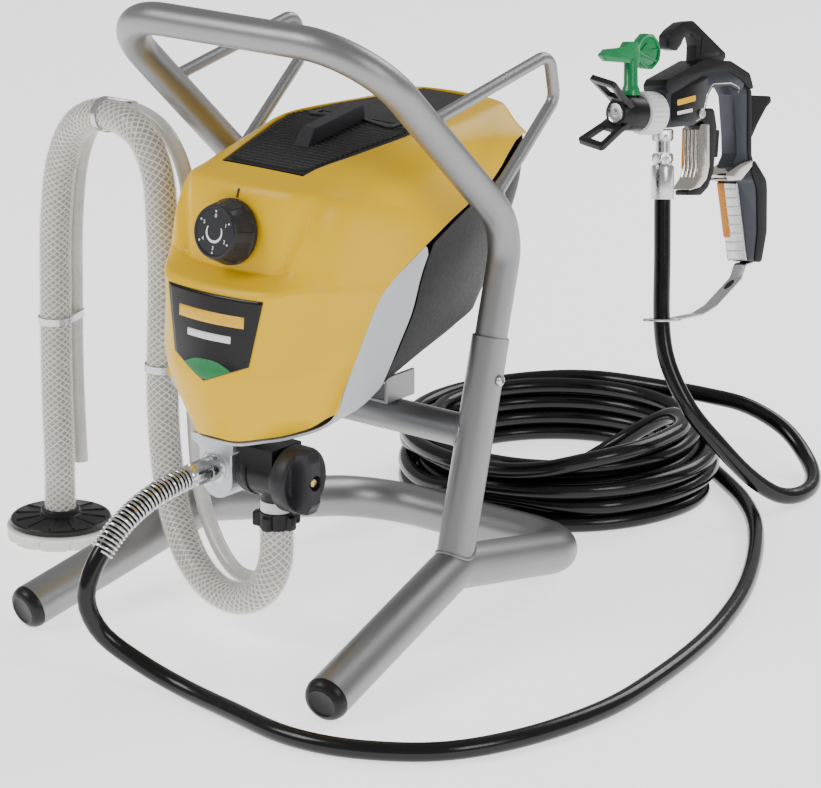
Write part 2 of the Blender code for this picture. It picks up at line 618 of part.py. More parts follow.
def make_pump():
    x, y, front = PUMP_X, PUMP_Y, -118.0
    outline = [*arc((x, 139), 17, 180, 360, 10), (x + 17, 161), (x + 21, 165), (x + 21, 172.5), (x - 21, 172.5),
               (x - 21, 165), (x - 17, 161)]
    block = flat_shape("pump_block", [outline], 50.0, CAST, (0, front + 25, 0), (math.pi / 2, 0, 0))
    join(block, box("pump_neck", (x - 15, y - 14, 170), (x + 15, y + 14, 198), CAST))
    cut(block, rod("piston_bore", (x, y, 130), (x, y, 200), 5.6, CAST, 14))
    # Hexagon nipple screwed to the block's front, then the hose nut on it
    turned("outlet_fitting", [(0, 22), (6, 22), (6, 9), (10.5, 9), (10.5, GAP), (0, GAP)], STEEL,
           (x, front, OUTLET_HEIGHT), (0, -1, 0), 12)
    nut = turned("hose_nut", [(0, 34), (8.5, 34), (11, 31), (11, 9.5), (0, 9.5)], STEEL,
                 (x, front, OUTLET_HEIGHT), (0, -1, 0), 6)
    cut(nut, rod("nut_bore", (x, front - 24, OUTLET_HEIGHT), (x, front, OUTLET_HEIGHT), 6.5, STEEL))
    # Inlet housing: valve barrel along X, neck down to the suction nut
    neck_x, neck_y = 36.0, -100.0
    house = rod("inlet_housing", (7, neck_y, 148), (47, neck_y, 148), 19, BLACK, 20)
    join(house, rod("inlet_neck", (neck_x - 3, neck_y, 106), (neck_x - 3, neck_y, 150), 12, BLACK, 20),
         box("inlet_cap", (10, neck_y - 18, 152), (44, neck_y + 18, 172.5), BLACK),
         rod("return_boss", (12, -84, 127), (12, -84, 150), 8, BLACK, 12))
    turned("return_nipple", [(0, 126.5), (6.5, 126.5), (6.5, 110), (0, 110)], WHITE, (12, -84, 0), steps=14)
    wings = star(6, 15.5, 18.9, width=0.5)
    nut = flat_shape("suction_nut", [wings], 13.0, BLACK, (neck_x - 3, neck_y, 111))
    cut(nut, rod("neck_socket", (neck_x - 3, neck_y, 105.6), (neck_x - 3, neck_y, 130), 12.4, BLACK, 20))
    # Prime knob on the valve's end, with the brass screw in its face
    knob = turned("prime_knob", [(0, 27), (14, 27), (24, 22), (27.5, 14), (27.5, 3), (23, GAP), (0, GAP)],
                  DARK_GREY, (47, neck_y, 148), (1, 0, 0), 12)
    cut(knob, rod("screw_well", (68, neck_y, 148), (80, neck_y, 148), 6, DARK_GREY))
    turned("prime_screw", [(0, 25.5), (3.2, 25), (4, 23), (4, 21.5), (0, 21.5)], BRASS, (47, neck_y, 148), (1, 0, 0), 12)


# ---- Hoses ---------------------------------------------------------------------------------------

SUCTION_POINTS = [
    (-290, -13, 26), (-289.5, -13, 70), (-290, -13, 140), (-288, -13, 222), (-285, -13, 283), (-274.5, -14, 337),
    (-250, -18, 373), (-209.5, -25, 388), (-168.5, -31, 379), (-146, -36, 350), (-138, -40, 305), (-136, -42, 255),
    (-137, -45, 176), (-131, -50, 126), (-113, -62, 85), (-79, -80, 50), (-43, -92, 33), (-9, -98, 33),
    (17, -100, 47), (31, -100, 73), (33, -100, 104.2)]
RETURN_POINTS = [
    (-288, 12, 62), (-290, 12, 140), (-288, 12, 222), (-285, 12, 283), (-274.5, 11, 337), (-250, 7, 373),
    (-209.5, 0, 388), (-168, -5, 379), (-142, -9, 350), (-128, -15, 305), (-121, -22, 255), (-119, -27, 176),
    (-112, -33, 126), (-97, -44, 88), (-68, -58, 56), (-38, -68, 40), (-8, -76, 45), (8, -83, 70), (12, -84, 109.7)]
HOSE_POINTS = [
    (-15, -152.5, 148), (-15.5, -172, 146), (-18, -195, 140), (-21, -217, 129), (-24, -236, 113),
    (-27, -249, 94), (-28, -254, 71), (-20, -245, 44), (8, -231, 22), (48, -226, 10),
    (101, -233, 8), (157, -242, 7.8), (204, -236, 7.8), (248, -214, 7.8), (277, -187, 7.8), (298, -148, 7.8),
    (312, -101, 7.8), (319, -42, 7.8), (314, 23, 7.8), (303, 92, 7.8), (287, 154, 7.8), (260, 227, 7.8),
    (221, 303, 7.8), (180, 366, 7.8), (140, 411, 7.8), (112, 434, 7.8)]
TAIL_POINTS = [
    (77, 365.5, 230), (85.3, 355, 174), (97, 350, 140), (118, 353, 104), (137, 370, 72),
    (152, 398, 38), (163, 428, 15), (168, 458, 8), (160, 492, 8.5), (135, 523, 16), (100, 538, 35),
    (62, 533, 58), (24, 520, 70.5), (-14, 511, 70.5)]


def make_hoses():
    tube("suction_hose", square_ends(smooth_route(SUCTION_POINTS, 26), (0, 0, 1), (0, 0, 1)),
         SUCTION_RADIUS, HOSE_CLEAR, 3)
    tube("return_tube", square_ends(smooth_route(RETURN_POINTS, 24), None, (0, 0, 1)), RETURN_RADIUS, HOSE_CLEAR, 2)
    clips = (((-288.7, -13, 196), (-0.01, 0, 1)), ((-211, -24.7, 387.6), (1, -0.17, 0.06)), ((-136.9, -44.1, 190), (0, 0, 1)))
    for i, (where, along) in enumerate(clips, 1):
        ring = [(16.6, 3), (16.6, -3), (SUCTION_RADIUS + 1.2, -3), (SUCTION_RADIUS + 1.2, 3)]
        turned("hose_clip_%d" % i, ring, STEEL, where, along, 20, closed=True)
    rim = star(10, STRAINER_RADIUS - 3, STRAINER_RADIUS, width=0.7)
    flat_shape("strainer_rim", [rim, circle(STRAINER_RADIUS - 7, 24)], 13.0, WHITE,
               (STRAINER.x, STRAINER.y, 6.5))
    turned("strainer_plate", [(0, 25.7), (16.5, 25.7), (17, 19.5), (STRAINER_RADIUS - 4, 18), (STRAINER_RADIUS - 3, 13 + GAP),
                              (0, 13 + GAP)], BLACK, STRAINER, steps=28)

    route = smooth_route(HOSE_POINTS, 20)
    split = GUARD_SPANS
    along = (route[split + 1] - route[split - 1]).normalized()
    tube("spring_guard", square_ends(route[:split + 1], (0, -1, 0), along), GUARD_RADIUS, STEEL, 2)
    free = [route[split] + along * GAP, *route[split + 1:split + 12], *route[split + 13::2]]
    tube("paint_hose", square_ends(free, along), PAINT_HOSE_RADIUS, HOSE_BLACK, 2)
    middle, half = (COIL_OUTER + COIL_INNER) / 2, (COIL_OUTER - COIL_INNER) / 2
    ring = [(COIL_OUTER - 4, COIL_HEIGHT), (COIL_OUTER, COIL_HEIGHT - 4), (COIL_OUTER, 4), (COIL_OUTER - 4, 0.2),
            (COIL_INNER + 4, 0.2), (COIL_INNER, 4), (COIL_INNER, COIL_HEIGHT - 4), (COIL_INNER + 4, COIL_HEIGHT)]
    turned("hose_coil", ring, HOSE_BLACK, COIL_CENTRE, steps=40, closed=True)
    gun = Matrix.Translation(GUN_ORIGIN) @ GUN_TURN.to_matrix().to_4x4()
    start = gun @ Vector((0, INLET_Y, -74.4))
    down = start - gun @ Vector((0, INLET_Y, 0))
    tube("paint_hose_tail", square_ends(smooth_route([start, *TAIL_POINTS], 32), down), PAINT_HOSE_RADIUS, HOSE_BLACK, 2)


# ---- Spray gun -----------------------------------------------------------------------------------

def gun_plate(name, outlines, thickness, mat, x=0.0):
    """A flat piece in the gun's middle plane, outlined by (distance behind the orifice, height)."""
    return flat_shape(name, outlines, thickness, mat, (x, 0, 0), (math.pi / 2, 0, math.pi / 2))


def ribbon(points, thickness):
    """Outline of a bent strip of even thickness along a line of flat points."""
    points = [Vector(p) for p in points]
    sides = ([], [])
    for i, point in enumerate(points):
        along = (points[min(i + 1, len(points) - 1)] - points[max(i - 1, 0)]).normalized()
        across = Vector((-along.y, along.x)) * thickness / 2
        sides[0].append(point + across)
        sides[1].append(point - across)
    return [tuple(p) for p in sides[0] + sides[1][::-1]]


def make_gun():
    before = set(bpy.data.objects)
    body = gun_plate("gun_body", [[
        (50, 25), (50, -13), (86, -10), (98, -5), (106, 17), (112, 24), (131, 24), (134, 14), (139, -18), (144, -36),
        (139, -47), (131, -54), (131, -58), (148, -60), (161, -130), (176, -130), (183, -104), (183, -57),
        (165, -36), (165, 18), (158, 34), (133, 44), (97, 44)]], 25.0, DARK_GREY)
    bevel(body, 3.0)
    cut(body, box("trigger_slot", (-10.6, 84, -30), (10.6, 116.5, 9), BLACK))
    gun_plate("gun_hook", [[(60.5, 67), (61, 56), (71, 54), (77, 60), (80, 65), (88, 70), (94, 68), (97, 60),
                            (96, 44.4), (131, 44.4), (138, 52), (92, 81), (79, 79), (67, 72.5)]], 12.0, BLACK)
    y, z = TRIGGER_PIVOT.y, TRIGGER_PIVOT.z
    gun_plate("trigger", [[(y - 5, z + 5), (y + 23, z + 5), (y + 27, z - 12), (y + 23, z - 50), (y + 16, z - 64),
                           (y + 6, z - 71), (y - 11, z - 70), (y - 13, z - 66), (y - 3, z - 56), (y, z - 48),
                           (y + 1, z - 14), (y - 5, z - 6)]], 19.0, STEEL)
    gun_plate("trigger_lock", [[(y + 27.2, -14), (y + 31.2, -14), (y + 28.8, -38), (y + 24.8, -38)]], 14.0, BLACK)
    turned("union_nut", [(0, -28), (17, -28), (19, -31), (19, -47), (16, -49.6), (0, -49.6)], WHITE,
           axis=(0, -1, 0), steps=24)
    guard = turned("tip_guard", [(0, -1), (10, -1), (15.5, -10), (15.5, -27.6), (0, -27.6)], BLACK,
                   axis=(0, -1, 0), steps=20)
    for side in (1, -1):
        prong = [(16, side * 10), (8, side * 15), (-22, side * 29), (-28, side * 27), (-28, side * 23), (4, side * 5)]
        join(guard, gun_plate("prong_%s" % ("up" if side > 0 else "down"), [prong], 24.0, BLACK))
    cut(guard, rod("orifice_bore", (0, -3, 0), (0, 12, 0), 6.5, BLACK),
        rod("tip_bore", (0, 18.5, -14.5), (0, 18.5, 30), 6.0, BLACK))
    tip = rod("spray_tip", (0, 18.5, -14), (0, 18.5, 46), 5.6, GREEN, 16)
    flag = [(-19, 48.6), (-13, 44), (21, 42), (29.5, 37), (42, 37), (52.5, 46), (54, 60), (47, 69.5), (29.5, 69),
            (22, 61), (12, 61), (8, 56), (-13, 54)]
    join(tip, gun_plate("tip_flag", [flag], 7.0, GREEN))
    turned("gun_inlet", [(0, -13.3), (9, -13.3), (9, -22), (6, -22), (6, -34), (0, -34)], STEEL,
           (0, INLET_Y, 0), steps=6)
    turned("hose_ferrule", [(0, -34.3), (8, -34.3), (8, -43), (9.5, -43), (9.5, -74), (0, -74)], STEEL,
           (0, INLET_Y, 0), steps=18)
    strap = gun_plate("hose_guide", [ribbon([(174, -131.6), (164, -133), (158, -145.5), (124, -169), (107, -175.5), (74, -179)], 1.8)],
                      14.0, STEEL)
    join(strap, turned("guide_ring", [(15.5, -178), (15.5, -180), (9.5, -180), (9.5, -178)], STEEL, (0, INLET_Y, 0),
                       steps=20, closed=True))
    holder = bpy.data.objects.new("gun_frame", None)
    PARTS.objects.link(holder)
    holder.location = GUN_ORIGIN * MM
    holder.rotation_euler = GUN_TURN
    for obj in bpy.data.objects:
        if obj not in before and obj != holder:
            obj.parent = holder


make_stand()
make_housing()
make_drive()
make_pump()
make_hoses()
make_gun()

model = bpy.data.objects.new("model_origin", None)
PARTS.objects.link(model)
for obj in bpy.data.objects:
    if obj.parent is None and obj != model:
        obj.parent = model
model.location = ORIGIN_SHIFT * MM
bpy.context.view_layer.update()
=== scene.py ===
"""Looks of the airless paint sprayer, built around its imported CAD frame."""

import json
import math

import bmesh
import bpy
from mathutils import Euler, Matrix, Vector
from mathutils.bvhtree import BVHTree

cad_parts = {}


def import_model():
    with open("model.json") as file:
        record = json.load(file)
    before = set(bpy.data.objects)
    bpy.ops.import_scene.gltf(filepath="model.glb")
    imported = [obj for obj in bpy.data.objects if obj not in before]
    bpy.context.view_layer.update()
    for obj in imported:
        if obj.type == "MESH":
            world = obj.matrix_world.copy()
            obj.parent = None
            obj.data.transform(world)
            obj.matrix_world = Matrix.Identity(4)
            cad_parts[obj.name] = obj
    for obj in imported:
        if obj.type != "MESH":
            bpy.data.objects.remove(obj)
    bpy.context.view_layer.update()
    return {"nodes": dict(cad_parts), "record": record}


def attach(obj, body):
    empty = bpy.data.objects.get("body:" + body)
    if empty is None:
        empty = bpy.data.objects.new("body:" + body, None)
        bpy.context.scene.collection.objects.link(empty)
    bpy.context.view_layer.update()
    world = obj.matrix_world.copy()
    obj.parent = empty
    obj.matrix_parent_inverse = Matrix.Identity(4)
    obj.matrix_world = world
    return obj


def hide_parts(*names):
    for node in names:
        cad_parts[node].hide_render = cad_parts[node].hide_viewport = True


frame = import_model()
NODES = frame["nodes"]
BODY_OF = {node: body for body, members in frame["record"]["behaviour"]["bodies"].items() for node in members}
SLOT_OF = {part["node"]: part["material_slot"] for part in frame["record"]["subparts"]}

MM = 0.001
SHIFT = Vector((0.0, -150.0, 0.0))       # the model's origin, from the point between the uprights' feet
GUN = (Matrix.Translation((Vector((50.0, 330.0, 362.4)) + SHIFT) * MM)
       @ Euler((math.radians(-9.5), math.radians(-9.7), math.radians(-6.7)), "XYZ").to_matrix().to_4x4())
INLET_Y = 60.0

# The stand's tubes, in mm
HALF_WIDTH = 131.0
BASE_RADIUS = 18.0
SLEEVE_RADIUS = 15.0
HANDLE_RADIUS = 13.0
HOOK_RADIUS = 5.0
CROSSBAR_RADIUS = 13.5
FOOT = Vector((156.0, -187.0, 18.0))
APEX = Vector((HALF_WIDTH, 0.0, 63.0))
REAR = Vector((112.0, 199.5, BASE_RADIUS))
SLEEVE_TOP = Vector((HALF_WIDTH, 48.0, 244.0))
BEND = Vector((HALF_WIDTH, 70.4, 328.7))
GRIP = Vector((HALF_WIDTH, -108.0, 497.3))
LEAN = (BEND - APEX).normalized()

# The hoses, in mm
SUCTION_RADIUS = 14.0
RETURN_RADIUS = 6.5
PAINT_RADIUS = 7.4
STRAINER = Vector((-290.0, -13.0, 0.0))
COIL_CENTRE = Vector((-36.0, 372.0, 0.0))
OUTER_TURN = 138.3
INNER_TURN = 121.8
LAYERS = (7.7, 22.9, 38.1, 53.3)


# ---- Camera, floor and light ---------------------------------------------------------------------

def make_stage():
    data = bpy.data.cameras.new("camera")
    data.lens = 152.0
    data.sensor_width = 36.0
    data.clip_end = 30.0
    camera = bpy.data.objects.new("camera", data)
    bpy.context.scene.collection.objects.link(camera)
    camera.location = (1.7153, -2.1990, 1.0243)
    camera.rotation_euler = (math.radians(72.5), 0.0, math.radians(38.46))
    bpy.context.scene.camera = camera

    floor_mesh = bpy.data.meshes.new("floor")
    reach = 14.0
    floor_mesh.from_pydata([(-reach, -reach, 0), (reach, -reach, 0), (reach, reach, 0), (-reach, reach, 0)],
                           [], [(0, 1, 2, 3)])
    floor = bpy.data.objects.new("floor", floor_mesh)
    bpy.context.scene.collection.objects.link(floor)
    paint = bpy.data.materials.new("floor_paint")
    paint.use_nodes = True
    shader = paint.node_tree.nodes["Principled BSDF"]
    shader.inputs["Base Color"].default_value = (0.93, 0.93, 0.93, 1)
    shader.inputs["Roughness"].default_value = 0.7
    shader.inputs["Specular IOR Level"].default_value = 0.2
    shader.inputs["Emission Color"].default_value = (1.0, 1.0, 1.0, 1)
    shader.inputs["Emission Strength"].default_value = 1.3
    floor_mesh.materials.append(paint)

    world = bpy.data.worlds.new("studio")
    bpy.context.scene.world = world
    world.use_nodes = True
    background = world.node_tree.nodes["Background"]
    background.inputs["Color"].default_value = (1.0, 1.0, 1.0, 1)
    background.inputs["Strength"].default_value = 0.45
    lights = (("key", (-1.5, -2.2, 2.4), 1.3, 44.0), ("fill", (2.6, -0.6, 1.5), 1.0, 20.0),
              ("back", (0.3, 2.6, 2.2), 1.6, 40.0))
    for name, place, size, power in lights:
        lamp = bpy.data.lights.new(name, "AREA")
        lamp.size = size
        lamp.energy = power
        obj = bpy.data.objects.new(name, lamp)
        bpy.context.scene.collection.objects.link(obj)
        obj.location = place
        obj.rotation_euler = (Vector((0, -0.1, 0.25)) - Vector(place)).to_track_quat("-Z", "Y").to_euler()


# ---- Materials -----------------------------------------------------------------------------------

def finish(name, color, roughness, metallic=0.0, grain=(2500.0, 0.05), mottle=(30.0, 0.05), rough_spread=0.06,
           stretch=(1, 1, 1), **sockets):
    """A surface with fine bumps (scale per metre, strength), broad shade changes and uneven gloss."""
    result = bpy.data.materials.new(name)
    result.use_nodes = True
    nodes, links = result.node_tree.nodes, result.node_tree.links
    shader = nodes["Principled BSDF"]
    shader.inputs["Metallic"].default_value = metallic
    for socket, value in sockets.items():
        shader.inputs[socket.replace("_", " ")].default_value = value
    where = nodes.new("ShaderNodeTexCoord")
    mapping = nodes.new("ShaderNodeMapping")
    mapping.inputs["Scale"].default_value = stretch
    links.new(where.outputs["Object"], mapping.inputs["Vector"])

    def noise(scale, detail):
        node = nodes.new("ShaderNodeTexNoise")
        node.inputs["Scale"].default_value = scale
        node.inputs["Detail"].default_value = detail
        links.new(mapping.outputs["Vector"], node.inputs["Vector"])
        return node.outputs["Fac"]

    def spread(value, low, high):
        node = nodes.new("ShaderNodeMapRange")
        node.inputs["From Min"].default_value = 0.3
        node.inputs["From Max"].default_value = 0.7
        node.inputs["To Min"].default_value = low
        node.inputs["To Max"].default_value = high
        links.new(value, node.inputs["Value"])
        return node.outputs["Result"]

    fine = noise(grain[0], 3.0)
    broad = noise(mottle[0], 4.0)
    mix = nodes.new("ShaderNodeMix")
    mix.data_type = "RGBA"
    mix.inputs[6].default_value = (*(c * (1 - mottle[1]) for c in color), 1)
    mix.inputs[7].default_value = (*(min(1.0, c * (1 + mottle[1])) for c in color), 1)
    links.new(spread(broad, 0.0, 1.0), mix.inputs[0])
    links.new(mix.outputs[2], shader.inputs["Base Color"])
    links.new(spread(noise(grain[0] * 0.23, 2.0), roughness - rough_spread, roughness + rough_spread),
              shader.inputs["Roughness"])
    bump = nodes.new("ShaderNodeBump")
    bump.inputs["Strength"].default_value = grain[1]
    bump.inputs["Distance"].default_value = 0.0004
    links.new(fine, bump.inputs["Height"])
    links.new(bump.outputs["Normal"], shader.inputs["Normal"])
    result.diffuse_color = (*color, 1)
    return result


SILVER = finish("silver_paint", (0.27, 0.27, 0.275), 0.33, 0.8, (5200.0, 0.22), (14.0, 0.04), 0.05)
YELLOW = finish("yellow_moulding", (0.82, 0.49, 0.0), 0.30, 0.0, (2600.0, 0.04), (9.0, 0.02), 0.05,
                Specular_IOR_Level=0.2)
PALE = finish("pale_grey_moulding", (0.52, 0.54, 0.57), 0.42, 0.0, (2600.0, 0.06), (9.0, 0.03))
BLACK = finish("black_moulding", (0.009, 0.008, 0.008), 0.46, 0.0, (1900.0, 0.35), (25.0, 0.10),
               Specular_IOR_Level=0.3)
BLACK_SATIN = finish("black_satin", (0.006, 0.006, 0.007), 0.36, 0.0, (2400.0, 0.08), (25.0, 0.10),
                     Specular_IOR_Level=0.3)
LABEL = finish("label_film", (0.004, 0.003, 0.003), 0.25, 0.0, (900.0, 0.02), (40.0, 0.10), 0.03,
               Specular_IOR_Level=0.3)
DARK = finish("dark_grey_moulding", (0.020, 0.020, 0.023), 0.42, 0.0, (2400.0, 0.2), (25.0, 0.08),
              Specular_IOR_Level=0.3)
GUN_GREY = finish("gun_grey", (0.045, 0.050, 0.062), 0.24, 0.5, (900.0, 0.02), (25.0, 0.06), 0.02)
STEEL = finish("zinc_plate", (0.60, 0.60, 0.60), 0.24, 1.0, (1500.0, 0.10), (60.0, 0.08), 0.08)
CHROME = finish("bright_nickel", (0.60, 0.56, 0.50), 0.13, 1.0, (1500.0, 0.03), (40.0, 0.05), 0.04)
CAST = finish("cast_aluminium", (0.50, 0.52, 0.55), 0.38, 0.85, (1300.0, 0.35), (60.0, 0.08), 0.08)
BRASS = finish("turned_brass", (0.62, 0.43, 0.15), 0.26, 1.0, (1500.0, 0.10), (60.0, 0.08))
WHITE = finish("white_moulding", (0.74, 0.74, 0.72), 0.42, 0.0, (2200.0, 0.10), (30.0, 0.04))
HOSE_CORE = finish("hose_core", (0.30, 0.285, 0.25), 0.5, 0.0, (900.0, 0.1), (45.0, 0.10))
BRAID = finish("hose_braid", (0.80, 0.79, 0.74), 0.5, 0.0, (3000.0, 0.2), (60.0, 0.06))
HOSE_FILM = finish("hose_film", (0.80, 0.79, 0.73), 0.2, 0.0, (700.0, 0.02), (30.0, 0.04), 0.04,
                   Alpha=0.28, Coat_Weight=0.4)
HOSE_PLAIN = finish("return_hose", (0.66, 0.65, 0.61), 0.28, 0.0, (700.0, 0.05), (40.0, 0.10), 0.06, Coat_Weight=0.3)
HOSE_BLACK = finish("hose_jacket", (0.004, 0.004, 0.005), 0.19, 0.0, (620.0, 0.06), (70.0, 0.2), 0.06,
                    Specular_IOR_Level=0.35)
GREEN = finish("green_moulding", (0.0, 0.22, 0.06), 0.26, 0.0, (1800.0, 0.05), (50.0, 0.08), 0.05, Coat_Weight=0.3)
LABEL_GREEN = finish("label_green", (0.012, 0.19, 0.055), 0.3, 0.0, (900.0, 0.02), (40.0, 0.04))
LABEL_YELLOW = finish("label_yellow", (0.80, 0.44, 0.0), 0.3, 0.0, (900.0, 0.02), (40.0, 0.04))
PRINT = finish("white_print", (0.80, 0.80, 0.80), 0.4, 0.0, (900.0, 0.02), (40.0, 0.02))
AMBER = finish("amber_moulding", (0.62, 0.22, 0.0), 0.28, 0.0, (1800.0, 0.05), (50.0, 0.06))
BOARD = finish("board_green", (0.015, 0.16, 0.06), 0.42, 0.0, (1500.0, 0.1), (120.0, 0.2))


# ---- Making pieces -------------------------------------------------------------------------------

def world(point):
    return (Vector(point) + SHIFT) * MM


def gun(point):
    return GUN @ (Vector(point) * MM)


def mirrored(point):
    return Vector((-point[0], point[1], point[2]))


def settle(obj, body, replaces=()):
    """Put a finished piece on its body, in place of its CAD nodes."""
    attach(obj, body)
    if replaces:
        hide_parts(*replaces)
    return obj


def solid(name, shape, mat, body="root", replaces=(), smooth=35, outward=True):
    """An object from (points in metres, faces)."""
    points, faces = shape
    mesh = bpy.data.meshes.new(name)
    mesh.from_pydata([tuple(p) for p in points], [], faces)
    if outward:
        work = bmesh.new()
        work.from_mesh(mesh)
        bmesh.ops.recalc_face_normals(work, faces=work.faces)
        work.to_mesh(mesh)
        work.free()
    mesh.materials.append(mat)
    mesh.shade_smooth()
    mesh.set_sharp_from_angle(angle=math.radians(smooth))
    obj = bpy.data.objects.new(name, mesh)
    bpy.context.scene.collection.objects.link(obj)
    return settle(obj, body, replaces)


def merged(*shapes):
    points, faces = [], []
    for more_points, more_faces in shapes:
        base = len(points)
        points += list(more_points)
        faces += [tuple(base + i for i in face) for face in more_faces]
    return points, faces


def moved(shape, matrix):
    return [matrix @ Vector(p) for p in shape[0]], shape[1]


def facing(location, axis):
    """Matrix from mm about +Z at the origin to metres about the axis at a place in mm."""
    turn = Vector((0, 0, 1)).rotation_difference(Vector(axis)).to_matrix().to_4x4()
    return Matrix.Translation(world(location)) @ turn @ Matrix.Scale(MM, 4)


def gun_facing(location, axis):
    turn = Vector((0, 0, 1)).rotation_difference(Vector(axis)).to_matrix().to_4x4()
    return GUN @ Matrix.Translation(Vector(location) * MM) @ turn @ Matrix.Scale(MM, 4)


def lathe(profile, steps=48, shape=None, closed=False):
    """Turn a profile of (radius, height) about +Z; shape(angle, radius, height) may change the radius."""
    points, faces, rings = [], [], []
    for radius, height in profile:
        if radius < 1e-6:
            rings.append([len(points)])
            points.append(Vector((0, 0, height)))
            continue
        ring = []
        for i in range(steps):
            angle = 2 * math.pi * i / steps
            r = shape(angle, radius, height) if shape else radius
            ring.append(len(points))
            points.append(Vector((r * math.cos(angle), r * math.sin(angle), height)))
        rings.append(ring)
    pairs = list(zip(rings, rings[1:]))
    if closed:
        pairs.append((rings[-1], rings[0]))
    for upper, lower in pairs:
        for i in range(steps):
            j = (i + 1) % steps
            a, b = upper[i % len(upper)], upper[j % len(upper)]
            c, d = lower[j % len(lower)], lower[i % len(lower)]
            if len(set((a, b, c, d))) > 2:
                faces.append(tuple(dict.fromkeys((a, b, c, d))))
    return points, faces


def frames(route):
    """Point, side and up at each place of a route, turning as little as possible."""
    route = [Vector(p) for p in route]
    result = []
    along = (route[1] - route[0]).normalized()
    side = along.orthogonal().normalized()
    for i, point in enumerate(route):
        after, before = route[min(i + 1, len(route) - 1)], route[max(i - 1, 0)]
        fresh = (after - before).normalized()
        side = along.rotation_difference(fresh) @ side
        side = (side - fresh * side.dot(fresh)).normalized()
        along = fresh
        result.append((point, side, along.cross(side), along))
    return result


def sweep(route, radius, sides=24, cap=0.0, closed=False):
    """A round tube along a route in metres; radius in mm, one for all or one for each point."""
    radii = radius if isinstance(radius, (list, tuple)) else [radius] * len(route)
    points, faces = [], []
    places = frames(route)
    for (point, side, up, _), r in zip(places, radii):
        for i in range(sides):
            angle = 2 * math.pi * i / sides
            points.append(point + (side * math.cos(angle) + up * math.sin(angle)) * r * MM)
    last = len(route) if closed else len(route) - 1
    for k in range(last):
        a, b = k * sides, (k + 1) % len(route) * sides
        for i in range(sides):
            j = (i + 1) % sides
            faces.append((a + i, a + j, b + j, b + i))
    if not closed:
        for end, sign in ((0, -1), (len(route) - 1, 1)):
            point, _, _, along = places[end]
            tip = len(points)
            points.append(point + along * sign * cap * MM)
            base = end * sides
            faces += [(base + i, base + (i + 1) % sides, tip) for i in range(sides)]
    return points, faces


def rounded(corners, radii, step_deg=5):
    """A polyline through the corners, with an arc of the given radius at each inner one."""
    points = [Vector(corners[0])]
    for i in range(1, len(corners) - 1):
        before, here, after = (Vector(corners[j]) for j in (i - 1, i, i + 1))
        to_start, to_end = (before - here).normalized(), (after - here).normalized()
        turn = math.pi - to_start.angle(to_end)
        reach = radii[i - 1] * math.tan(turn / 2)
        centre = here + (to_start + to_end).normalized() * (radii[i - 1] / math.cos(turn / 2))
        first = here + to_start * reach - centre
        normal = first.cross(here + to_end * reach - centre)
        count = max(2, round(math.degrees(turn) / step_deg))
        points += [centre + Matrix.Rotation(turn * j / count, 3, normal) @ first for j in range(count + 1)]
    points.append(Vector(corners[-1]))
    return points


def smooth_route(points, spacing):
    """A Catmull-Rom curve through the points, read at an even spacing."""
    points = [Vector(p) for p in points]
    padded = [2 * points[0] - points[1], *points, 2 * points[-1] - points[-2]]
    fine = []
    for i in range(1, len(padded) - 2):
        a, b, c, d = padded[i - 1:i + 3]
        for j in range(12):
            t = j / 12
            fine.append(0.5 * (2 * b + (c - a) * t + (2 * a - 5 * b + 4 * c - d) * t * t
                               + (3 * b - a - 3 * c + d) * t ** 3))
    fine.append(points[-1])
    total = sum((q - p).length for p, q in zip(fine, fine[1:]))
    count = max(2, round(total / spacing))
    even, travelled, target = [fine[0]], 0.0, total / count
    for p, q in zip(fine, fine[1:]):
        length = (q - p).length
        while length and travelled + length >= target - 1e-6 and len(even) < count:
            even.append(p.lerp(q, (target - travelled) / length))
            target += total / count
        travelled += length
    even.append(fine[-1])
    return even


def route_length(route):
    return sum((q - p).length for p, q in zip(route, route[1:]))


def ease(value, low, high):
    t = min(1.0, max(0.0, (value - low) / (high - low)))
    return t * t * (3 - 2 * t)


def helix(route, radius, pitch, phase=0.0, per_turn=14):
    """Points that wind round a route; radius and pitch in mm, route in metres."""
    dense = smooth_route(route, pitch / per_turn * MM)
    travelled, result, before = 0.0, [], dense[0]
    for point, side, up, _ in frames(dense):
        travelled += (point - before).length
        before = point
        angle = phase + 2 * math.pi * travelled / (pitch * MM)
        result.append(point + (side * math.cos(angle) + up * math.sin(angle)) * radius * MM)
    return result


def soften(node, mat, width=0.6, segments=2, angle=32, smooth=32):
    """A piece of a CAD node's own shape, with its sharp edges rounded off."""
    mesh = NODES[node].data.copy()
    work = bmesh.new()
    work.from_mesh(mesh)
    bmesh.ops.remove_doubles(work, verts=work.verts, dist=0.000002)
    bmesh.ops.dissolve_limit(work, angle_limit=math.radians(0.6), verts=work.verts, edges=work.edges)
    work.to_mesh(mesh)
    work.free()
    mesh.materials.clear()
    mesh.materials.append(mat)
    mesh.shade_smooth()
    mesh.set_sharp_from_angle(angle=math.radians(smooth))
    obj = bpy.data.objects.new(node + "_skin", mesh)
    bpy.context.scene.collection.objects.link(obj)
    if width:
        edge = obj.modifiers.new("edges", "BEVEL")
        edge.width = width * MM
        edge.segments = segments
        edge.limit_method = "ANGLE"
        edge.angle_limit = math.radians(angle)
        edge.harden_normals = True
    return settle(obj, BODY_OF[node], (node,))


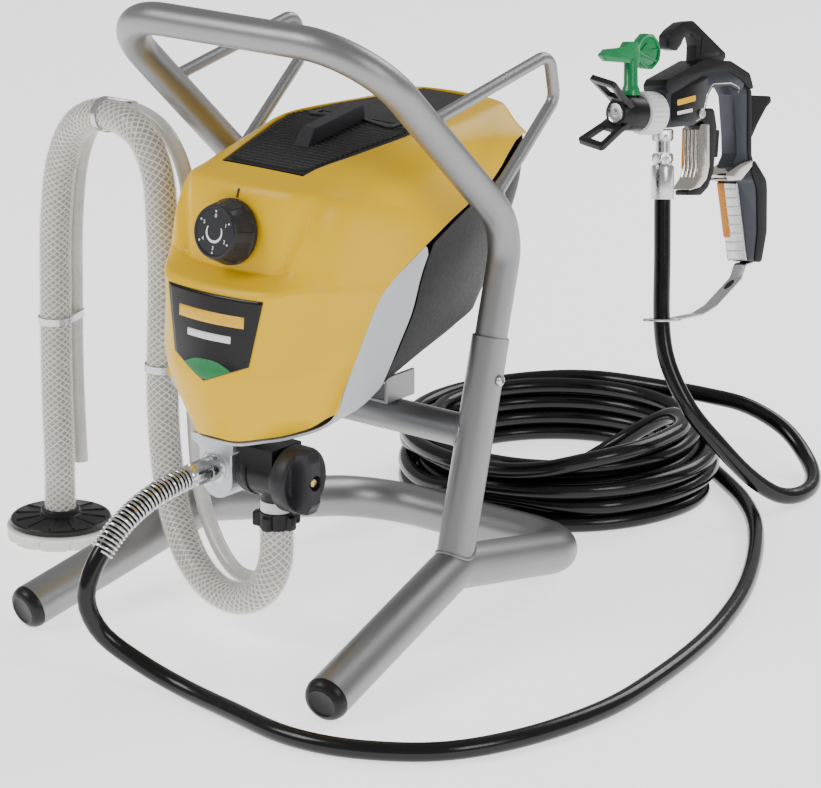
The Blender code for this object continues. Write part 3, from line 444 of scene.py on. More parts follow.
def prism(outline, low, high, matrix, chamfer=0.0):
    """A flat outline in mm raised from one height to another, its rim drawn in by the chamfer."""
    points = [Vector((x, y)) for x, y in outline]
    count = len(points)
    middle = sum(points, Vector((0, 0))) / count
    inner = [p + (middle - p).normalized() * chamfer for p in points]
    rings = [(points, low), (points, high - chamfer), (inner, high)] if chamfer else [(points, low), (points, high)]
    verts = [matrix @ Vector((p.x, p.y, z)) for ring, z in rings for p in ring]
    faces = [tuple(range(count))[::-1]]
    for k in range(len(rings) - 1):
        for i in range(count):
            j = (i + 1) % count
            faces.append((k * count + i, k * count + j, (k + 1) * count + j, (k + 1) * count + i))
    faces.append(tuple((len(rings) - 1) * count + i for i in range(count)))
    return verts, faces


# ---- Hoses ---------------------------------------------------------------------------------------

SUCTION_POINTS = [
    (-290, -13, 26), (-289.5, -13, 70), (-290, -13, 140), (-288, -13, 222), (-285, -13, 283), (-274.5, -14, 337),
    (-250, -18, 373), (-209.5, -25, 388), (-168.5, -31, 379), (-146, -36, 350), (-138, -40, 305), (-136, -42, 255),
    (-137, -45, 176), (-131, -50, 126), (-113, -62, 85), (-79, -80, 50), (-43, -92, 33), (-9, -98, 33),
    (17, -100, 47), (31, -100, 73), (33, -100, 104.2)]
RETURN_POINTS = [
    (-288, 12, 62), (-290, 12, 140), (-288, 12, 222), (-285, 12, 283), (-274.5, 11, 337), (-250, 7, 373),
    (-209.5, 0, 388), (-168, -5, 379), (-142, -9, 350), (-128, -15, 305), (-121, -22, 255), (-119, -27, 176),
    (-112, -33, 126), (-97, -44, 88), (-68, -58, 56), (-38, -68, 40), (-8, -76, 45), (8, -83, 70), (12, -84, 109.7)]
HOSE_POINTS = [
    (-15, -152.5, 148), (-15.5, -172, 146), (-18, -195, 140), (-21, -217, 129), (-24, -236, 113),
    (-27, -249, 94), (-28, -254, 71), (-20, -245, 44), (8, -231, 22), (48, -226, 10),
    (101, -233, 8), (157, -242, 7.8), (204, -236, 7.8), (248, -214, 7.8), (277, -187, 7.8), (298, -148, 7.8),
    (312, -101, 7.8), (319, -42, 7.8), (314, 23, 7.8), (303, 92, 7.8), (287, 154, 7.8), (260, 227, 7.8),
    (221, 303, 7.8), (180, 366, 7.8), (140, 411, 7.8), (100, 444, 7.8)]
TAIL_POINTS = [
    (-14, 511, 59), (24, 521, 57), (62, 533, 51), (100, 538, 35), (135, 523, 16), (160, 492, 8.5),
    (168, 458, 8), (163, 428, 15), (152, 398, 38), (137, 370, 72), (118, 353, 104), (97, 350, 140),
    (85.3, 355, 174), (77, 365.5, 230)]


def on_ring(angle, radius, height):
    a = math.radians(angle)
    return COIL_CENTRE + Vector((radius * math.cos(a), radius * math.sin(a), height))


def coil_points():
    """The coil's turns, outer then inner in each layer, then across its middle and back round its top."""
    low = 50.0
    spots = [(OUTER_TURN, LAYERS[0]), (INNER_TURN, LAYERS[0]), (INNER_TURN, LAYERS[1]), (OUTER_TURN, LAYERS[1]),
             (OUTER_TURN, LAYERS[2]), (INNER_TURN, LAYERS[2]), (INNER_TURN, LAYERS[3])]
    points, step, turn, shift = [], 15.0, 320.0, 30.0
    end = 2340.0
    angle = low
    while angle < end - 0.1:
        k = min(len(spots) - 1, int((angle - low) // turn))
        change = ease(angle - low - k * turn, 0, shift) if k else 1.0
        r0, z0 = spots[max(0, k - 1)]
        r1, z1 = spots[k]
        points.append(on_ring(angle, r0 + (r1 - r0) * change, z0 + (z1 - z0) * change))
        angle += step
    # Two half turns across the hollow, lying on the floor in the middle
    bend = INNER_TURN / 2
    for k in range(0, 12):
        t = math.radians(180 + 15 * k)
        height = LAYERS[3] + (7.8 - LAYERS[3]) * ease(15 * k, 30, 165)
        points.append(COIL_CENTRE + Vector((-bend + bend * math.cos(t), bend * math.sin(t), height)))
    hump = LAYERS[3] + 2 * PAINT_RADIUS + 1.0
    for k in range(0, 12):
        t = math.radians(180 - 15 * k)
        height = 7.8 + (hump - 7.8) * ease(15 * k, 10, 130)
        points.append(COIL_CENTRE + Vector((bend + bend * math.cos(t), bend * math.sin(t), height)))
    for k in range(0, 18):
        back = 15.0 * k
        radius = INNER_TURN + (OUTER_TURN - INNER_TURN) * ease(back, 0, 40)
        points.append(on_ring(-back, radius, hump + (LAYERS[3] - hump) * ease(back, 30, 75) + 4 * ease(back, 200, 255)))
    return points


def paint_route():
    ferrule = [gun((0, INLET_Y, -74.4)), gun((0, INLET_Y, -90))]
    route = [world(p) for p in HOSE_POINTS + coil_points() + TAIL_POINTS]
    return smooth_route(route + [ferrule[1], ferrule[0]], 9 * MM)


def strap(centre, along, other, big, small, width):
    """A band round two hoses side by side."""
    along = Vector(along).normalized()
    away = Vector(other) - Vector(centre)
    away -= along * away.dot(along)
    gap = away.length
    x, y = away.normalized(), along.cross(away.normalized())
    lean = math.acos((big - small) / gap)
    outline = []
    for radius, offset, first, last in ((big, 0.0, lean, 2 * math.pi - lean), (small, gap, -lean, lean)):
        for i in range(17):
            a = first + (last - first) * i / 16
            outline.append((offset + radius * math.cos(a), radius * math.sin(a)))
    points, faces = [], []
    for grow, height in ((0, -width / 2), (0.9, -width / 2), (0.9, width / 2), (0, width / 2)):
        for (px, py) in outline:
            away_from = Vector((px - gap / 2, py)).normalized() * grow
            flat = x * (px + away_from.x) + y * (py + away_from.y)
            points.append(world(Vector(centre) + flat + along * height))
    count = len(outline)
    for ring in range(4):
        for i in range(count):
            j = (i + 1) % count
            a, b = ring * count, (ring + 1) % 4 * count
            faces.append((a + i, a + j, b + j, b + i))
    return points, faces


def make_hoses():
    suction = smooth_route([world(p) for p in SUCTION_POINTS], 6 * MM)
    core = solid("suction_hose_core", sweep(suction, 11.6, 24), HOSE_CORE)
    threads = []
    starts, pitch = 11, 62.0
    for i in range(starts):
        phase = 2 * math.pi * i / starts
        threads.append(sweep(helix(suction, 12.3, pitch, phase, 22), 0.75, 4))
        threads.append(sweep(helix(suction, 12.3, -pitch, phase, -22), 0.75, 4))
    braid = solid("suction_hose_braid", merged(*threads), BRAID, outward=False)
    film = solid("suction_hose_wall", sweep(suction, SUCTION_RADIUS, 32), HOSE_FILM,
                 replaces=("suction_hose",))
    back = smooth_route([world(p) for p in RETURN_POINTS], 7 * MM)
    tube = solid("return_tube_wall", sweep(back, RETURN_RADIUS, 20), HOSE_PLAIN, replaces=("return_tube",))
    places = (((-288.7, -13, 196), (-0.01, 0, 1), (-289, 12, 196)), ((-211, -24.7, 387.6), (1, -0.17, 0.06), (-210, 0, 388)),
              ((-136.9, -44.1, 190), (0, 0, 1), (-119.2, -26.6, 190)))
    for i, (where, along, other) in enumerate(places, 1):
        solid("hose_clip_%d_band" % i, strap(where, along, other, SUCTION_RADIUS + 0.2,
                                                          RETURN_RADIUS + 0.3, 6.0), STEEL,
                           replaces=("hose_clip_%d" % i,))
    rim, plate = make_strainer()

    route = paint_route()
    jacket = solid("paint_hose_jacket", sweep(route, PAINT_RADIUS, 20), HOSE_BLACK,
                   replaces=("paint_hose", "hose_coil", "paint_hose_tail"))
    guard_end = next(i for i in range(len(route)) if route_length(route[:i + 2]) > 0.101)
    wire = helix(route[:guard_end + 1], 8.75, 3.6, 0.0, 16)
    guard = solid("spring_guard_wire", sweep(wire, 1.15, 8), STEEL, replaces=("spring_guard",), outward=False)


def make_strainer():
    """White rim with cut-outs round its foot, and the black plate with its collar."""
    reach = 47.0
    notches = 10

    def scallop(angle, radius, height):
        dip = max(0.0, math.cos(notches * angle)) ** 6 if radius > 42 and height < 9 else 0.0
        return radius - 5.0 * dip

    rim_profile = [(reach - 4, 13), (reach - 1.2, 12.6), (reach, 11.2), (reach - 0.4, 9), (reach - 0.5, 8.9), (reach - 0.5, 1.0),
                   (reach - 1.4, 0.1), (41.4, 0.1), (40.6, 0.8), (40.6, 12.4), (41.4, 13)]
    rim = solid("strainer_rim_ring", moved(lathe(rim_profile, 120, scallop, closed=True), facing(STRAINER, (0, 0, 1))),
                WHITE, replaces=("strainer_rim",))
    plate_profile = [(0, 25.5), (14.6, 25.5), (16.4, 25.2), (17, 24.4), (17.2, 21.5), (19, 20.2), (40, 18.6), (42.4, 18.2),
                     (43.6, 17), (43.8, 13.4), (0, 13.4)]
    ribs = [lathe(plate_profile, 72)]
    for i in range(12):
        a = 2 * math.pi * i / 12
        out = Vector((math.cos(a), math.sin(a), 0))
        ribs.append(sweep([out * 19 + Vector((0, 0, 19.8)), out * 39.5 + Vector((0, 0, 18.6))], 1100.0, 8, 500.0))
    plate = solid("strainer_plate_disc", moved(merged(*ribs), facing(STRAINER, (0, 0, 1))), BLACK_SATIN,
                  replaces=("strainer_plate",))
    return rim, plate


# ---- Stand ---------------------------------------------------------------------------------------

def weld(start, along, radius, other_start, other_along, other_radius, bead=1.5):
    """A bead where a tube runs into the side of a bigger one."""
    along, other_along = Vector(along).normalized(), Vector(other_along).normalized()
    u = along.orthogonal().normalized()
    v = along.cross(u)
    ring = []
    for i in range(28):
        a = 2 * math.pi * i / 28
        p = Vector(start) + (u * math.cos(a) + v * math.sin(a)) * radius
        w = p - Vector(other_start)
        w -= other_along * w.dot(other_along)
        d = along - other_along * along.dot(other_along)
        aa, bb, cc = d.dot(d), 2 * w.dot(d), w.dot(w) - other_radius ** 2
        root = bb * bb - 4 * aa * cc
        if root < 0:
            root = 0.0
        ring.append(world(p + along * ((-bb - math.sqrt(root)) / (2 * aa))))
    return sweep(ring, bead, 8, closed=True)


def make_stand():
    base_half = [FOOT, APEX, REAR]
    base = rounded([*base_half, *(mirrored(p) for p in reversed(base_half))], (38.0, 62.0, 62.0, 38.0))
    solid("base_tube_steel", sweep([world(p) for p in base], BASE_RADIUS, 48), SILVER, replaces=("base_tube",))
    handle_half = [SLEEVE_TOP - LEAN * 20.0, BEND, GRIP]
    handle = rounded([*handle_half, *(mirrored(p) for p in reversed(handle_half))], (52.0, 62.0, 62.0, 52.0))
    solid("handle_tube_steel", sweep([world(p) for p in handle], HANDLE_RADIUS, 40), SILVER,
          replaces=("handle_tube",))
    beads = []
    slope = (GRIP - BEND).normalized()
    rise = (SLEEVE_TOP - APEX).length
    screw = APEX + LEAN * ((212.0 - APEX.z) / LEAN.z)
    bar_height = 168.0
    bar_end = APEX + LEAN * ((bar_height - APEX.z) / LEAN.z)
    for side, label in ((1, "right"), (-1, "left")):
        def at(point):
            return Vector((side * point[0], point[1], point[2]))
        sleeve = [(13.4, rise - 8), (13.4, rise - 0.5), (13.7, rise), (14.4, rise), (SLEEVE_RADIUS, rise - 0.7),
                  (SLEEVE_RADIUS, 10), (13.4, 10)]
        solid(label + "_upright_sleeve", moved(lathe(sleeve, 48, closed=True), facing(at(APEX), LEAN)), SILVER,
              replaces=(label + "_upright",))
        beads.append(weld(at(APEX + LEAN * 60), -LEAN, SLEEVE_RADIUS, at(APEX), (at(APEX) - at(FOOT)), BASE_RADIUS))
        head = SLEEVE_RADIUS + 0.2
        profile = [(0, head + 1.4), (1.5, head + 1.4), (1.7, head + 3.4), (2.6, head + 3.2), (4.2, head + 1.9),
                   (4.5, head + 0.6), (4.5, head), (2.0, head), (2.0, 9), (0, 9)]
        solid(label + "_frame_screw_head", moved(lathe(profile, 32), facing(at(screw), (side, 0, 0))), STEEL,
              replaces=(label + "_frame_screw",))
        cap = [(0, 7.6), (9.5, 7.4), (10.6, 8.0), (11.6, 8.6), (13.4, 8.2), (15.6, 6.7), (17.1, 4.2), (17.9, 1.6), (18.1, 0.4),
               (17.0, 0.2), (15.4, 0.2), (15.4, -12), (0, -12)]
        solid(label + "_foot_cap_moulding", moved(lathe(cap, 56), facing(at(FOOT), at(FOOT) - at(APEX))), BLACK_SATIN,
              replaces=(label + "_foot_cap",))
        corners = [(HALF_WIDTH, -36.0, 429.5), (HALF_WIDTH, 121.4, 458.8), (HALF_WIDTH, 129.0, 421.5),
                   (HALF_WIDTH, 46.0, 351.7)]
        hook = rounded([at(p) for p in corners], (13.0, 13.0), 8)
        solid(label + "_hook_rod", sweep([world(p) for p in hook], HOOK_RADIUS, 20), SILVER,
              replaces=(label + "_hook",))
        for near, far in ((hook[0], hook[1]), (hook[-1], hook[-2])):
            away = far - near
            beads.append(weld(far, -away, HOOK_RADIUS, at(BEND), at(BEND + slope) - at(BEND), HANDLE_RADIUS, 1.3))
        beads.append(weld((0, bar_end.y, bar_height), (side, 0, 0), CROSSBAR_RADIUS, at(APEX), LEAN, SLEEVE_RADIUS))
    inside = HALF_WIDTH - 3
    solid("crossbar_steel", sweep([world((-inside, bar_end.y, bar_height)), world((inside, bar_end.y, bar_height))],
                                  CROSSBAR_RADIUS, 40), SILVER, replaces=("crossbar",))
    solid("weld_beads", merged(*beads), SILVER)
    soften("motor_bracket", SILVER, 0.8)


# ---- Housing -------------------------------------------------------------------------------------
# Each row runs from the centre plane out to the side, and the rows go from the nose up over the top

COVER_ROWS = [
    [(0, -137, 181), (18, -134, 180), (38, -112, 181), (60, -96, 188), (88, -93, 207)],
    [(0, -143, 200), (24, -138, 200), (48, -121, 201), (72, -103, 207), (89.5, -86, 222)],
    [(0, -146, 228), (34, -139, 230), (58, -124, 231), (79, -102, 234), (90.5, -74, 240)],
    [(0, -143, 245), (39, -136, 244), (62, -120, 247), (82, -98, 250), (91, -64, 256)],
    [(0, -136, 297), (50, -130, 299), (69, -112, 303), (84, -88, 301), (91.5, -38, 292)],
    [(0, -132, 302.5), (48, -127.5, 304), (69, -110, 307), (84.5, -83, 305), (91.4, -30, 296)],
    [(0, -112, 311), (42, -111, 313), (64, -107, 319), (84.3, -78, 319), (91.2, -18, 302.5)],
    [(0, -107.6, 341), (44, -105, 342), (66, -100, 344), (84, -72, 336), (91, -5, 309)],
    [(0, -101, 374), (46, -97, 375), (66, -86, 372), (83, -58, 358), (90, 25, 321)],
    [(0, -77, 385), (42, -75, 384), (62, -66, 380), (80, -38, 366), (89, 50, 331)],
    [(0, -22, 394), (53, -22, 393), (67, -15, 389), (82, 0, 371), (88, 72, 338.5)],
    [(0, 29, 401), (63, 29, 400), (73, 35, 395), (83, 45, 376), (85, 93, 345)],
    [(0, 75, 403), (52, 75, 402), (66, 80, 397), (78, 90, 379), (82, 114, 351)],
    [(0, 167, 403), (31, 167, 402), (46, 167, 400), (62, 167, 387), (74, 166, 379)],
    [(0, 173, 402), (31, 173, 401), (46, 173, 399), (61, 172, 386), (73, 171, 378)],
]
OPENING_ROWS = (9, 13)

BAND_ROWS = [
    [(90.2, 17, 317.2), (89.6, 20, 314), (89.2, 21, 309)],
    [(91, -6, 308), (90.5, 5, 301), (88.6, 13, 294)],
    [(91.5, -38.6, 291), (91, -18, 281), (88, 3, 268)],
    [(91, -64.6, 255), (90, -38, 250), (85.5, -12, 241)],
    [(89.5, -84.5, 220), (88, -55, 219), (81.5, -23, 218)],
    [(87, -90.5, 203), (84, -60, 202), (78, -27, 208)],
    [(59, -94, 183), (58, -60, 191), (56, -26, 204)],
    [(37, -110, 176.5), (36, -66, 187), (35, -26, 203)],
    [(18, -132, 175.5), (18, -72, 185), (18, -26, 202)],
    [(0, -135, 176), (0, -72, 184), (0, -26, 202)],
]
REAR_SIDE = [
    [(89.2, 28, 317.2), (88.7, 15, 294), (88.2, 5, 268), (85.6, -10, 241), (79, -24, 212)],
    [(88, 72.5, 335.6), (88.5, 68, 308), (86, 60, 278), (82, 50, 250), (76, 42, 229)],
    [(82, 115, 347.5), (83, 112, 320), (80, 104, 288), (76, 94, 262), (70, 84, 236)],
    [(74, 164, 374), (73.5, 163, 350), (70, 150, 308), (66, 132, 270), (60, 118, 240)],
    [(61, 174, 381.5), (58, 174, 352), (54, 162, 308), (50, 142, 268), (46, 124, 238)],
    [(31, 175.5, 396.5), (30, 177, 352), (28, 165, 308), (26, 145, 268), (24, 126, 237)],
    [(0, 175.5, 397.5), (0, 178, 352), (0, 166, 308), (0, 146, 268), (0, 127, 237)],
]
UNDERSIDE = [
    [(79, -24, 212), (58, -24, 205), (31, -24, 203), (0, -24, 202)],
    [(76, 42, 229), (58, 42, 222), (31, 42, 218), (0, 42, 217)],
    [(70, 84, 236), (54, 84, 230), (29, 84, 227), (0, 84, 226)],
    [(60, 118, 240), (46, 124, 238), (24, 126, 237), (0, 127, 237)],
]
DECK_HEIGHTS = [(-77, 384.6), (-22, 393.5), (29, 400.5), (75, 402.5), (167, 402.5)]
DECK_EDGES = [(-75, 42), (-22, 53), (29, 63), (75, 52), (167, 31)]


def between(stops, y):
    for (y0, v0), (y1, v1) in zip(stops, stops[1:]):
        if y <= y1:
            return v0 + (v1 - v0) * (y - y0) / (y1 - y0)
    return stops[-1][1]


def through(points, per_span):
    """A curve through every point that never swings past them, so flats stay flat and corners round off."""
    points = [Vector(p) for p in points]
    steps = [max(1e-6, (q - p).length) for p, q in zip(points, points[1:])]
    slopes = [(q - p) / s for p, q, s in zip(points, points[1:], steps)]
    tangents = [slopes[0]]
    for i in range(1, len(points) - 1):
        tangent = Vector((0, 0, 0))
        for axis in range(3):
            a, b = slopes[i - 1][axis], slopes[i][axis]
            if a * b > 0:
                wa, wb = 2 * steps[i] + steps[i - 1], steps[i] + 2 * steps[i - 1]
                tangent[axis] = (wa + wb) / (wa / a + wb / b)
        tangents.append(tangent)
    tangents.append(slopes[-1])
    result = []
    for i, s in enumerate(steps):
        for j in range(per_span):
            t = j / per_span
            result.append(points[i] * (1 + 2 * t) * (1 - t) ** 2 + tangents[i] * s * t * (1 - t) ** 2
                          + points[i + 1] * t * t * (3 - 2 * t) + tangents[i + 1] * s * t * t * (t - 1))
    result.append(points[-1])
    return result


def loft(rows, per_row, per_column):
    """Dense grid of points through rows of points."""
    wide = [through(row, per_column) for row in rows]
    tall = [through([row[j] for row in wide], per_row) for j in range(len(wide[0]))]
    return [[column[i] for column in tall] for i in range(len(tall[0]))]


def brow_groove(p):
    """The hollow between the knob's pad and the ridge outside it, deepest midway."""
    low, high = 311.0, 376.0
    if not low < p.z < high or p.y > -60:
        return p
    rise = (p.z - low) / (high - low)
    inner, outer = 43.0 + 14.0 * rise, 52.0 + 22.0 * rise
    across = (abs(p.x) - inner) / (outer - inner)
    if not 0 < across < 1:
        return p
    depth = 4.0 * math.sin(math.pi * across) * ease(p.z, low, 318) * (1 - ease(p.z, 366, high))
    return p + Vector((0, depth, 0))


def skin(name, grids, mat, node, skipped=lambda grid, i, j: False, wall=2.5, middle=(0, 0, 290)):
    """A shell of even thickness from dense grids in mm."""
    points, faces = [], []
    for g, grid in enumerate(grids):
        base, width = len(points), len(grid[0])
        points += [world(p) for row in grid for p in row]
        for i in range(len(grid) - 1):
            for j in range(width - 1):
                if not skipped(g, i, j):
                    a = base + i * width + j
                    faces.append((a, a + 1, a + width + 1, a + width))
    mesh = bpy.data.meshes.new(name)
    mesh.from_pydata([tuple(p) for p in points], [], faces)
    work = bmesh.new()
    work.from_mesh(mesh)
    bmesh.ops.remove_doubles(work, verts=work.verts, dist=0.00005)
    bmesh.ops.delete(work, geom=[v for v in work.verts if not v.link_faces], context="VERTS")
    bmesh.ops.recalc_face_normals(work, faces=work.faces)
    centre = world(middle)
    lean = sum(f.normal.dot(f.calc_center_median() - centre) * f.calc_area() for f in work.faces)
    if lean < 0:
        bmesh.ops.reverse_faces(work, faces=work.faces)
    work.to_mesh(mesh)
    work.free()
    mesh.materials.append(mat)
    mesh.shade_smooth()
    obj = bpy.data.objects.new(name, mesh)
    bpy.context.scene.collection.objects.link(obj)
    shell = obj.modifiers.new("wall", "SOLIDIFY")
    shell.thickness = wall * MM
    shell.offset = -1.0
    edge = obj.modifiers.new("edges", "BEVEL")
    edge.width = 0.5 * MM
    edge.segments = 2
    edge.limit_method = "ANGLE"
    edge.angle_limit = math.radians(55)
    edge.harden_normals = True
    return settle(obj, BODY_OF[node], (node,))


def whole(row):
    """A row from one side through the centre plane to the other."""
    return [mirrored(p) for p in reversed(row[1:])] + [Vector(p) for p in row]


def crisp(rows, places):
    """Add straight rows close to an edge, so that the surface turns sharply there."""
    result = []
    for i, row in enumerate(rows):
        result.append(row)
        for t in places.get(i, ()):
            result.append([tuple(Vector(a).lerp(Vector(b), t)) for a, b in zip(row, rows[i + 1])])
    return result


def make_housing():
    columns, per_row = 6, 4
    middle = 4 * columns
    rows = crisp(COVER_ROWS, {3: (0.5, 0.94), 5: (0.12, 0.86), 6: (0.12,), 8: (0.85,)})
    first, last = (rows.index(COVER_ROWS[i]) * per_row for i in OPENING_ROWS)
    grid = [[brow_groove(p) for p in row] for row in loft([whole(row) for row in rows], per_row, columns)]
    cover = skin("front_cover_shell", [grid], YELLOW, "front_cover", lambda g, i, j: (first <= i < last and middle - columns <= j < middle + columns))
    band = BAND_ROWS + [[mirrored(p) for p in row] for row in reversed(BAND_ROWS[:-1])]
    skin("side_band_shell", [loft(band, 5, 4)], PALE, "side_band")
    rear = REAR_SIDE + [[mirrored(p) for p in row] for row in reversed(REAR_SIDE[:-1])]
    under = [row[::-1] for row in UNDERSIDE]
    skin("rear_housing_shell", [loft(rear, 5, 5), loft([whole(row) for row in under], 5, 5)], BLACK, "rear_housing")
    make_lid()
    make_label(cover)
    make_knob()


def deck_panel(name, first, last, node, ribs):
    """Panel of the top deck between two depths, with ribs across it inside a plain border."""
    border, pitch, rise = 5.0, 5.0, 1.9
    step = pitch / 8 if ribs else 4.0
    count = round((last - first) / step)
    rows = []
    for i in range(count + 1):
        y = first + (last - first) * i / count
        edge = between(DECK_EDGES, y) - 1.2
        inner = edge - border
        phase = (y - first - border) % pitch / pitch
        wave = min(1.0, max(0.0, 3.0 - abs(phase - 0.5) * 10)) if ribs and first + border < y < ribs else 0.0
        half = [(0, wave), (inner * 0.5, wave), (inner - 0.3, wave), (inner + 0.3, 0), (edge - 0.8, 0), (edge, -0.6)]
        full = [(-x, h) for x, h in reversed(half[1:])] + half
        rows.append([Vector((x, y, between(DECK_HEIGHTS, y) - 0.9 + rise * h)) for x, h in full])
    return skin(name, [rows], BLACK, node, wall=3.0)


def make_lid():
    deck_panel("storage_lid_panel", -73.0, 51.0, "storage_lid", 41.0)
    deck_panel("rear_deck_panel", 53.0, 165.5, "rear_deck", 0)
    # Finger tongue: flat topped, its front end sloping, flaring into two shoulders at the back
    front, back, half = -29.0, 43.0, 7.0
    base = [(-half - 0.8, front), (half + 0.8, front), (half + 0.8, back), (-half - 0.8, back)]
    top = [(-half + 0.8, front + 11), (half - 0.8, front + 11), (half - 0.8, back), (-half + 0.8, back)]
    points = [world((x, y, between(DECK_HEIGHTS, y) - 1.0)) for x, y in base]
    points += [world((x, y, between(DECK_HEIGHTS, y) + 12.0 + 1.5 * ease(y, front, back))) for x, y in top]
    faces = [(3, 2, 1, 0), (4, 5, 6, 7), (0, 1, 5, 4), (1, 2, 6, 5), (2, 3, 7, 6), (3, 0, 4, 7)]
    shapes = [(points, faces)]
    for side in (1, -1):
        outer = [(side * 5, 40), (side * 40, 31), (side * 43, 34), (side * 42, 47), (side * 39, 47), (side * 38, 36),
                 (side * 5, 45)]
        low = [world((x, y, between(DECK_HEIGHTS, y) - 1.0)) for x, y in outer]
        high = [world((x, y, between(DECK_HEIGHTS, y) + 2.6)) for x, y in outer]
        count = len(outer)
        ring = [(i, (i + 1) % count, count + (i + 1) % count, count + i) for i in range(count)]
        shapes.append((low + high, ring + [tuple(range(count))[::-1], tuple(range(count, 2 * count))]))
    tongue = solid("lid_tongue", merged(*shapes), DARK, "storage_lid", smooth=20)
    edge = tongue.modifiers.new("edges", "BEVEL")
    edge.width = 0.7 * MM
    edge.segments = 2
    edge.limit_method = "ANGLE"
    edge.harden_normals = True


def decal(name, tree, heights, half_width, lift, mat, replaces=(), columns=24):
    """A thin film that follows the nose, between two heights, as wide as half_width says."""
    points, faces = [], []
    ray = Vector((0, 1, 0))
    for z in heights:
        reach = half_width(z)
        for j in range(columns + 1):
            x = reach * (2 * j / columns - 1)
            start = world((x, -250, z))
            hit = tree.ray_cast(start, ray)[0]
            points.append((hit or start) - ray * lift * MM)
    for i in range(len(heights) - 1):
        for j in range(columns):
            a = i * (columns + 1) + j
            faces.append((a, a + 1, a + columns + 2, a + columns + 1))
    obj = solid(name, (points, faces), mat, "root", replaces, outward=False)
    film = obj.modifiers.new("film", "SOLIDIFY")
    film.thickness = 0.3 * MM
    film.offset = 1.0
    return obj


def steps(low, high, count):
    return [low + (high - low) * i / count for i in range(count + 1)]


def make_label(cover):
    """A plain name plate with colour bars in place of lettering."""
    depsgraph = bpy.context.evaluated_depsgraph_get()
    mesh = cover.evaluated_get(depsgraph).to_mesh()
    tree = BVHTree.FromPolygons([cover.matrix_world @ v.co for v in mesh.vertices], [p.vertices[:] for p in mesh.polygons])
    tip, shoulder, top = 229.0, 244.5, 297.0

    def plate(z):
        if z < shoulder:
            return max(0.2, 38.0 * (z - tip) / (shoulder - tip))
        return 38.0 + 10.5 * (z - shoulder) / (top - shoulder)

    def ellipse(z):
        arch = max(0.0, 1 - ((z - 227.0) / 19.0) ** 2)
        return max(0.2, min(plate(z) - 1.2, 31.0 * math.sqrt(arch)))

    decal("label_film", tree, steps(tip, shoulder, 10) + steps(shoulder, top, 18)[1:], plate, 0.45, LABEL,
          ("label_plate",))
    decal("label_green_tip", tree, steps(tip + 1.6, 245.6, 16), ellipse, 0.65, LABEL_GREEN)
    decal("label_yellow_bar", tree, steps(274, 283, 4), lambda z: 33.0, 0.65, LABEL_YELLOW)
    decal("label_white_bar", tree, steps(261, 266.5, 3), lambda z: 22.0, 0.65, PRINT)
    # Pointer mark on the brow above the knob
    decal("knob_pointer_mark", tree, steps(366.5, 373, 3), lambda z: 0.8, 0.4, DARK, columns=2)


def make_knob():
    centre, axis = Vector((0.0, -107.4, 340.0)), Vector((0.0, -0.983, 0.184)).normalized()

    def grip(angle, radius, height):
        if 20.5 < radius < 26.2 and 7.5 < height < 21:
            notch = (angle * 10 / (2 * math.pi)) % 1.0
            return radius - 0.9 * (1.0 if 0.2 < notch < 0.62 else 0.0)
        return radius

    profile = [(0, 24.0), (18.0, 24.0), (18.4, 24.8), (19.6, 24.9), (20.6, 24.2), (21.4, 22.4), (22.0, 20.8), (23.3, 16),
               (24.9, 10), (25.4, 7.7), (25.9, 6.8), (25.9, 3.4), (25.4, 3.1), (3.4, 3.1)]
    place = facing(centre, axis)
    solid("pressure_knob_body", moved(lathe(profile, 168, grip), place), DARK, "pressure_knob", ("pressure_knob",), smooth=28)
    # Dial face: crescent, six marks and their numbers; u runs to the right of a person facing it
    face = 24.05

    def dial(radius, angle):
        a = math.radians(angle)
        return Vector((-radius * math.sin(a), radius * math.cos(a), 0))

    def flat(points, faces):
        turned = [place @ Vector((p.x, p.y, face)) for p in points]
        raised = [place @ Vector((p.x, p.y, face + 0.25)) for p in points]
        count = len(points)
        return turned + raised, [tuple(i + count for i in f) for f in faces]

    arc, count = [], 30
    for i in range(count + 1):
        angle = -60 - 240 * i / count
        wide = 0.5 + 1.5 * math.sin(math.pi * (0.12 + 0.80 * (1 - i / count)))
        arc += [dial(7.6 - wide / 2, angle), dial(7.6 + wide / 2, angle)]
    marks = [flat(arc, [(2 * i, 2 * i + 1, 2 * i + 3, 2 * i + 2) for i in range(count)])]
    numbers = []
    for i in range(6):
        angle = -60.0 * i
        marks.append(flat([dial(15.4, angle - 2.0), dial(15.4, angle + 2.0), dial(17.0, angle + 2.6), dial(17.0, angle - 2.6)],
                          [(0, 1, 2, 3)]))
        text = bpy.data.curves.new("digit", "FONT")
        text.body = str(i)
        text.size = 4.2
        text.align_x = text.align_y = "CENTER"
        text.extrude = 0.12
        letter = bpy.data.objects.new("digit", text)
        bpy.context.scene.collection.objects.link(letter)
        bpy.context.view_layer.update()
        mesh = bpy.data.meshes.new_from_object(letter.evaluated_get(bpy.context.evaluated_depsgraph_get()))
        spot = dial(12.6, angle)
        lay = place @ Matrix.Translation((spot.x, spot.y, face + 0.1)) @ Matrix.Rotation(math.radians(0.0), 4, "Z")
        numbers.append(([lay @ v.co for v in mesh.vertices], [tuple(p.vertices) for p in mesh.polygons]))
        bpy.data.objects.remove(letter, do_unlink=True)
    solid("dial_marks", merged(*marks, *numbers), PRINT, "pressure_knob", outward=False)



# ---- Plates cut from outlines --------------------------------------------------------------------

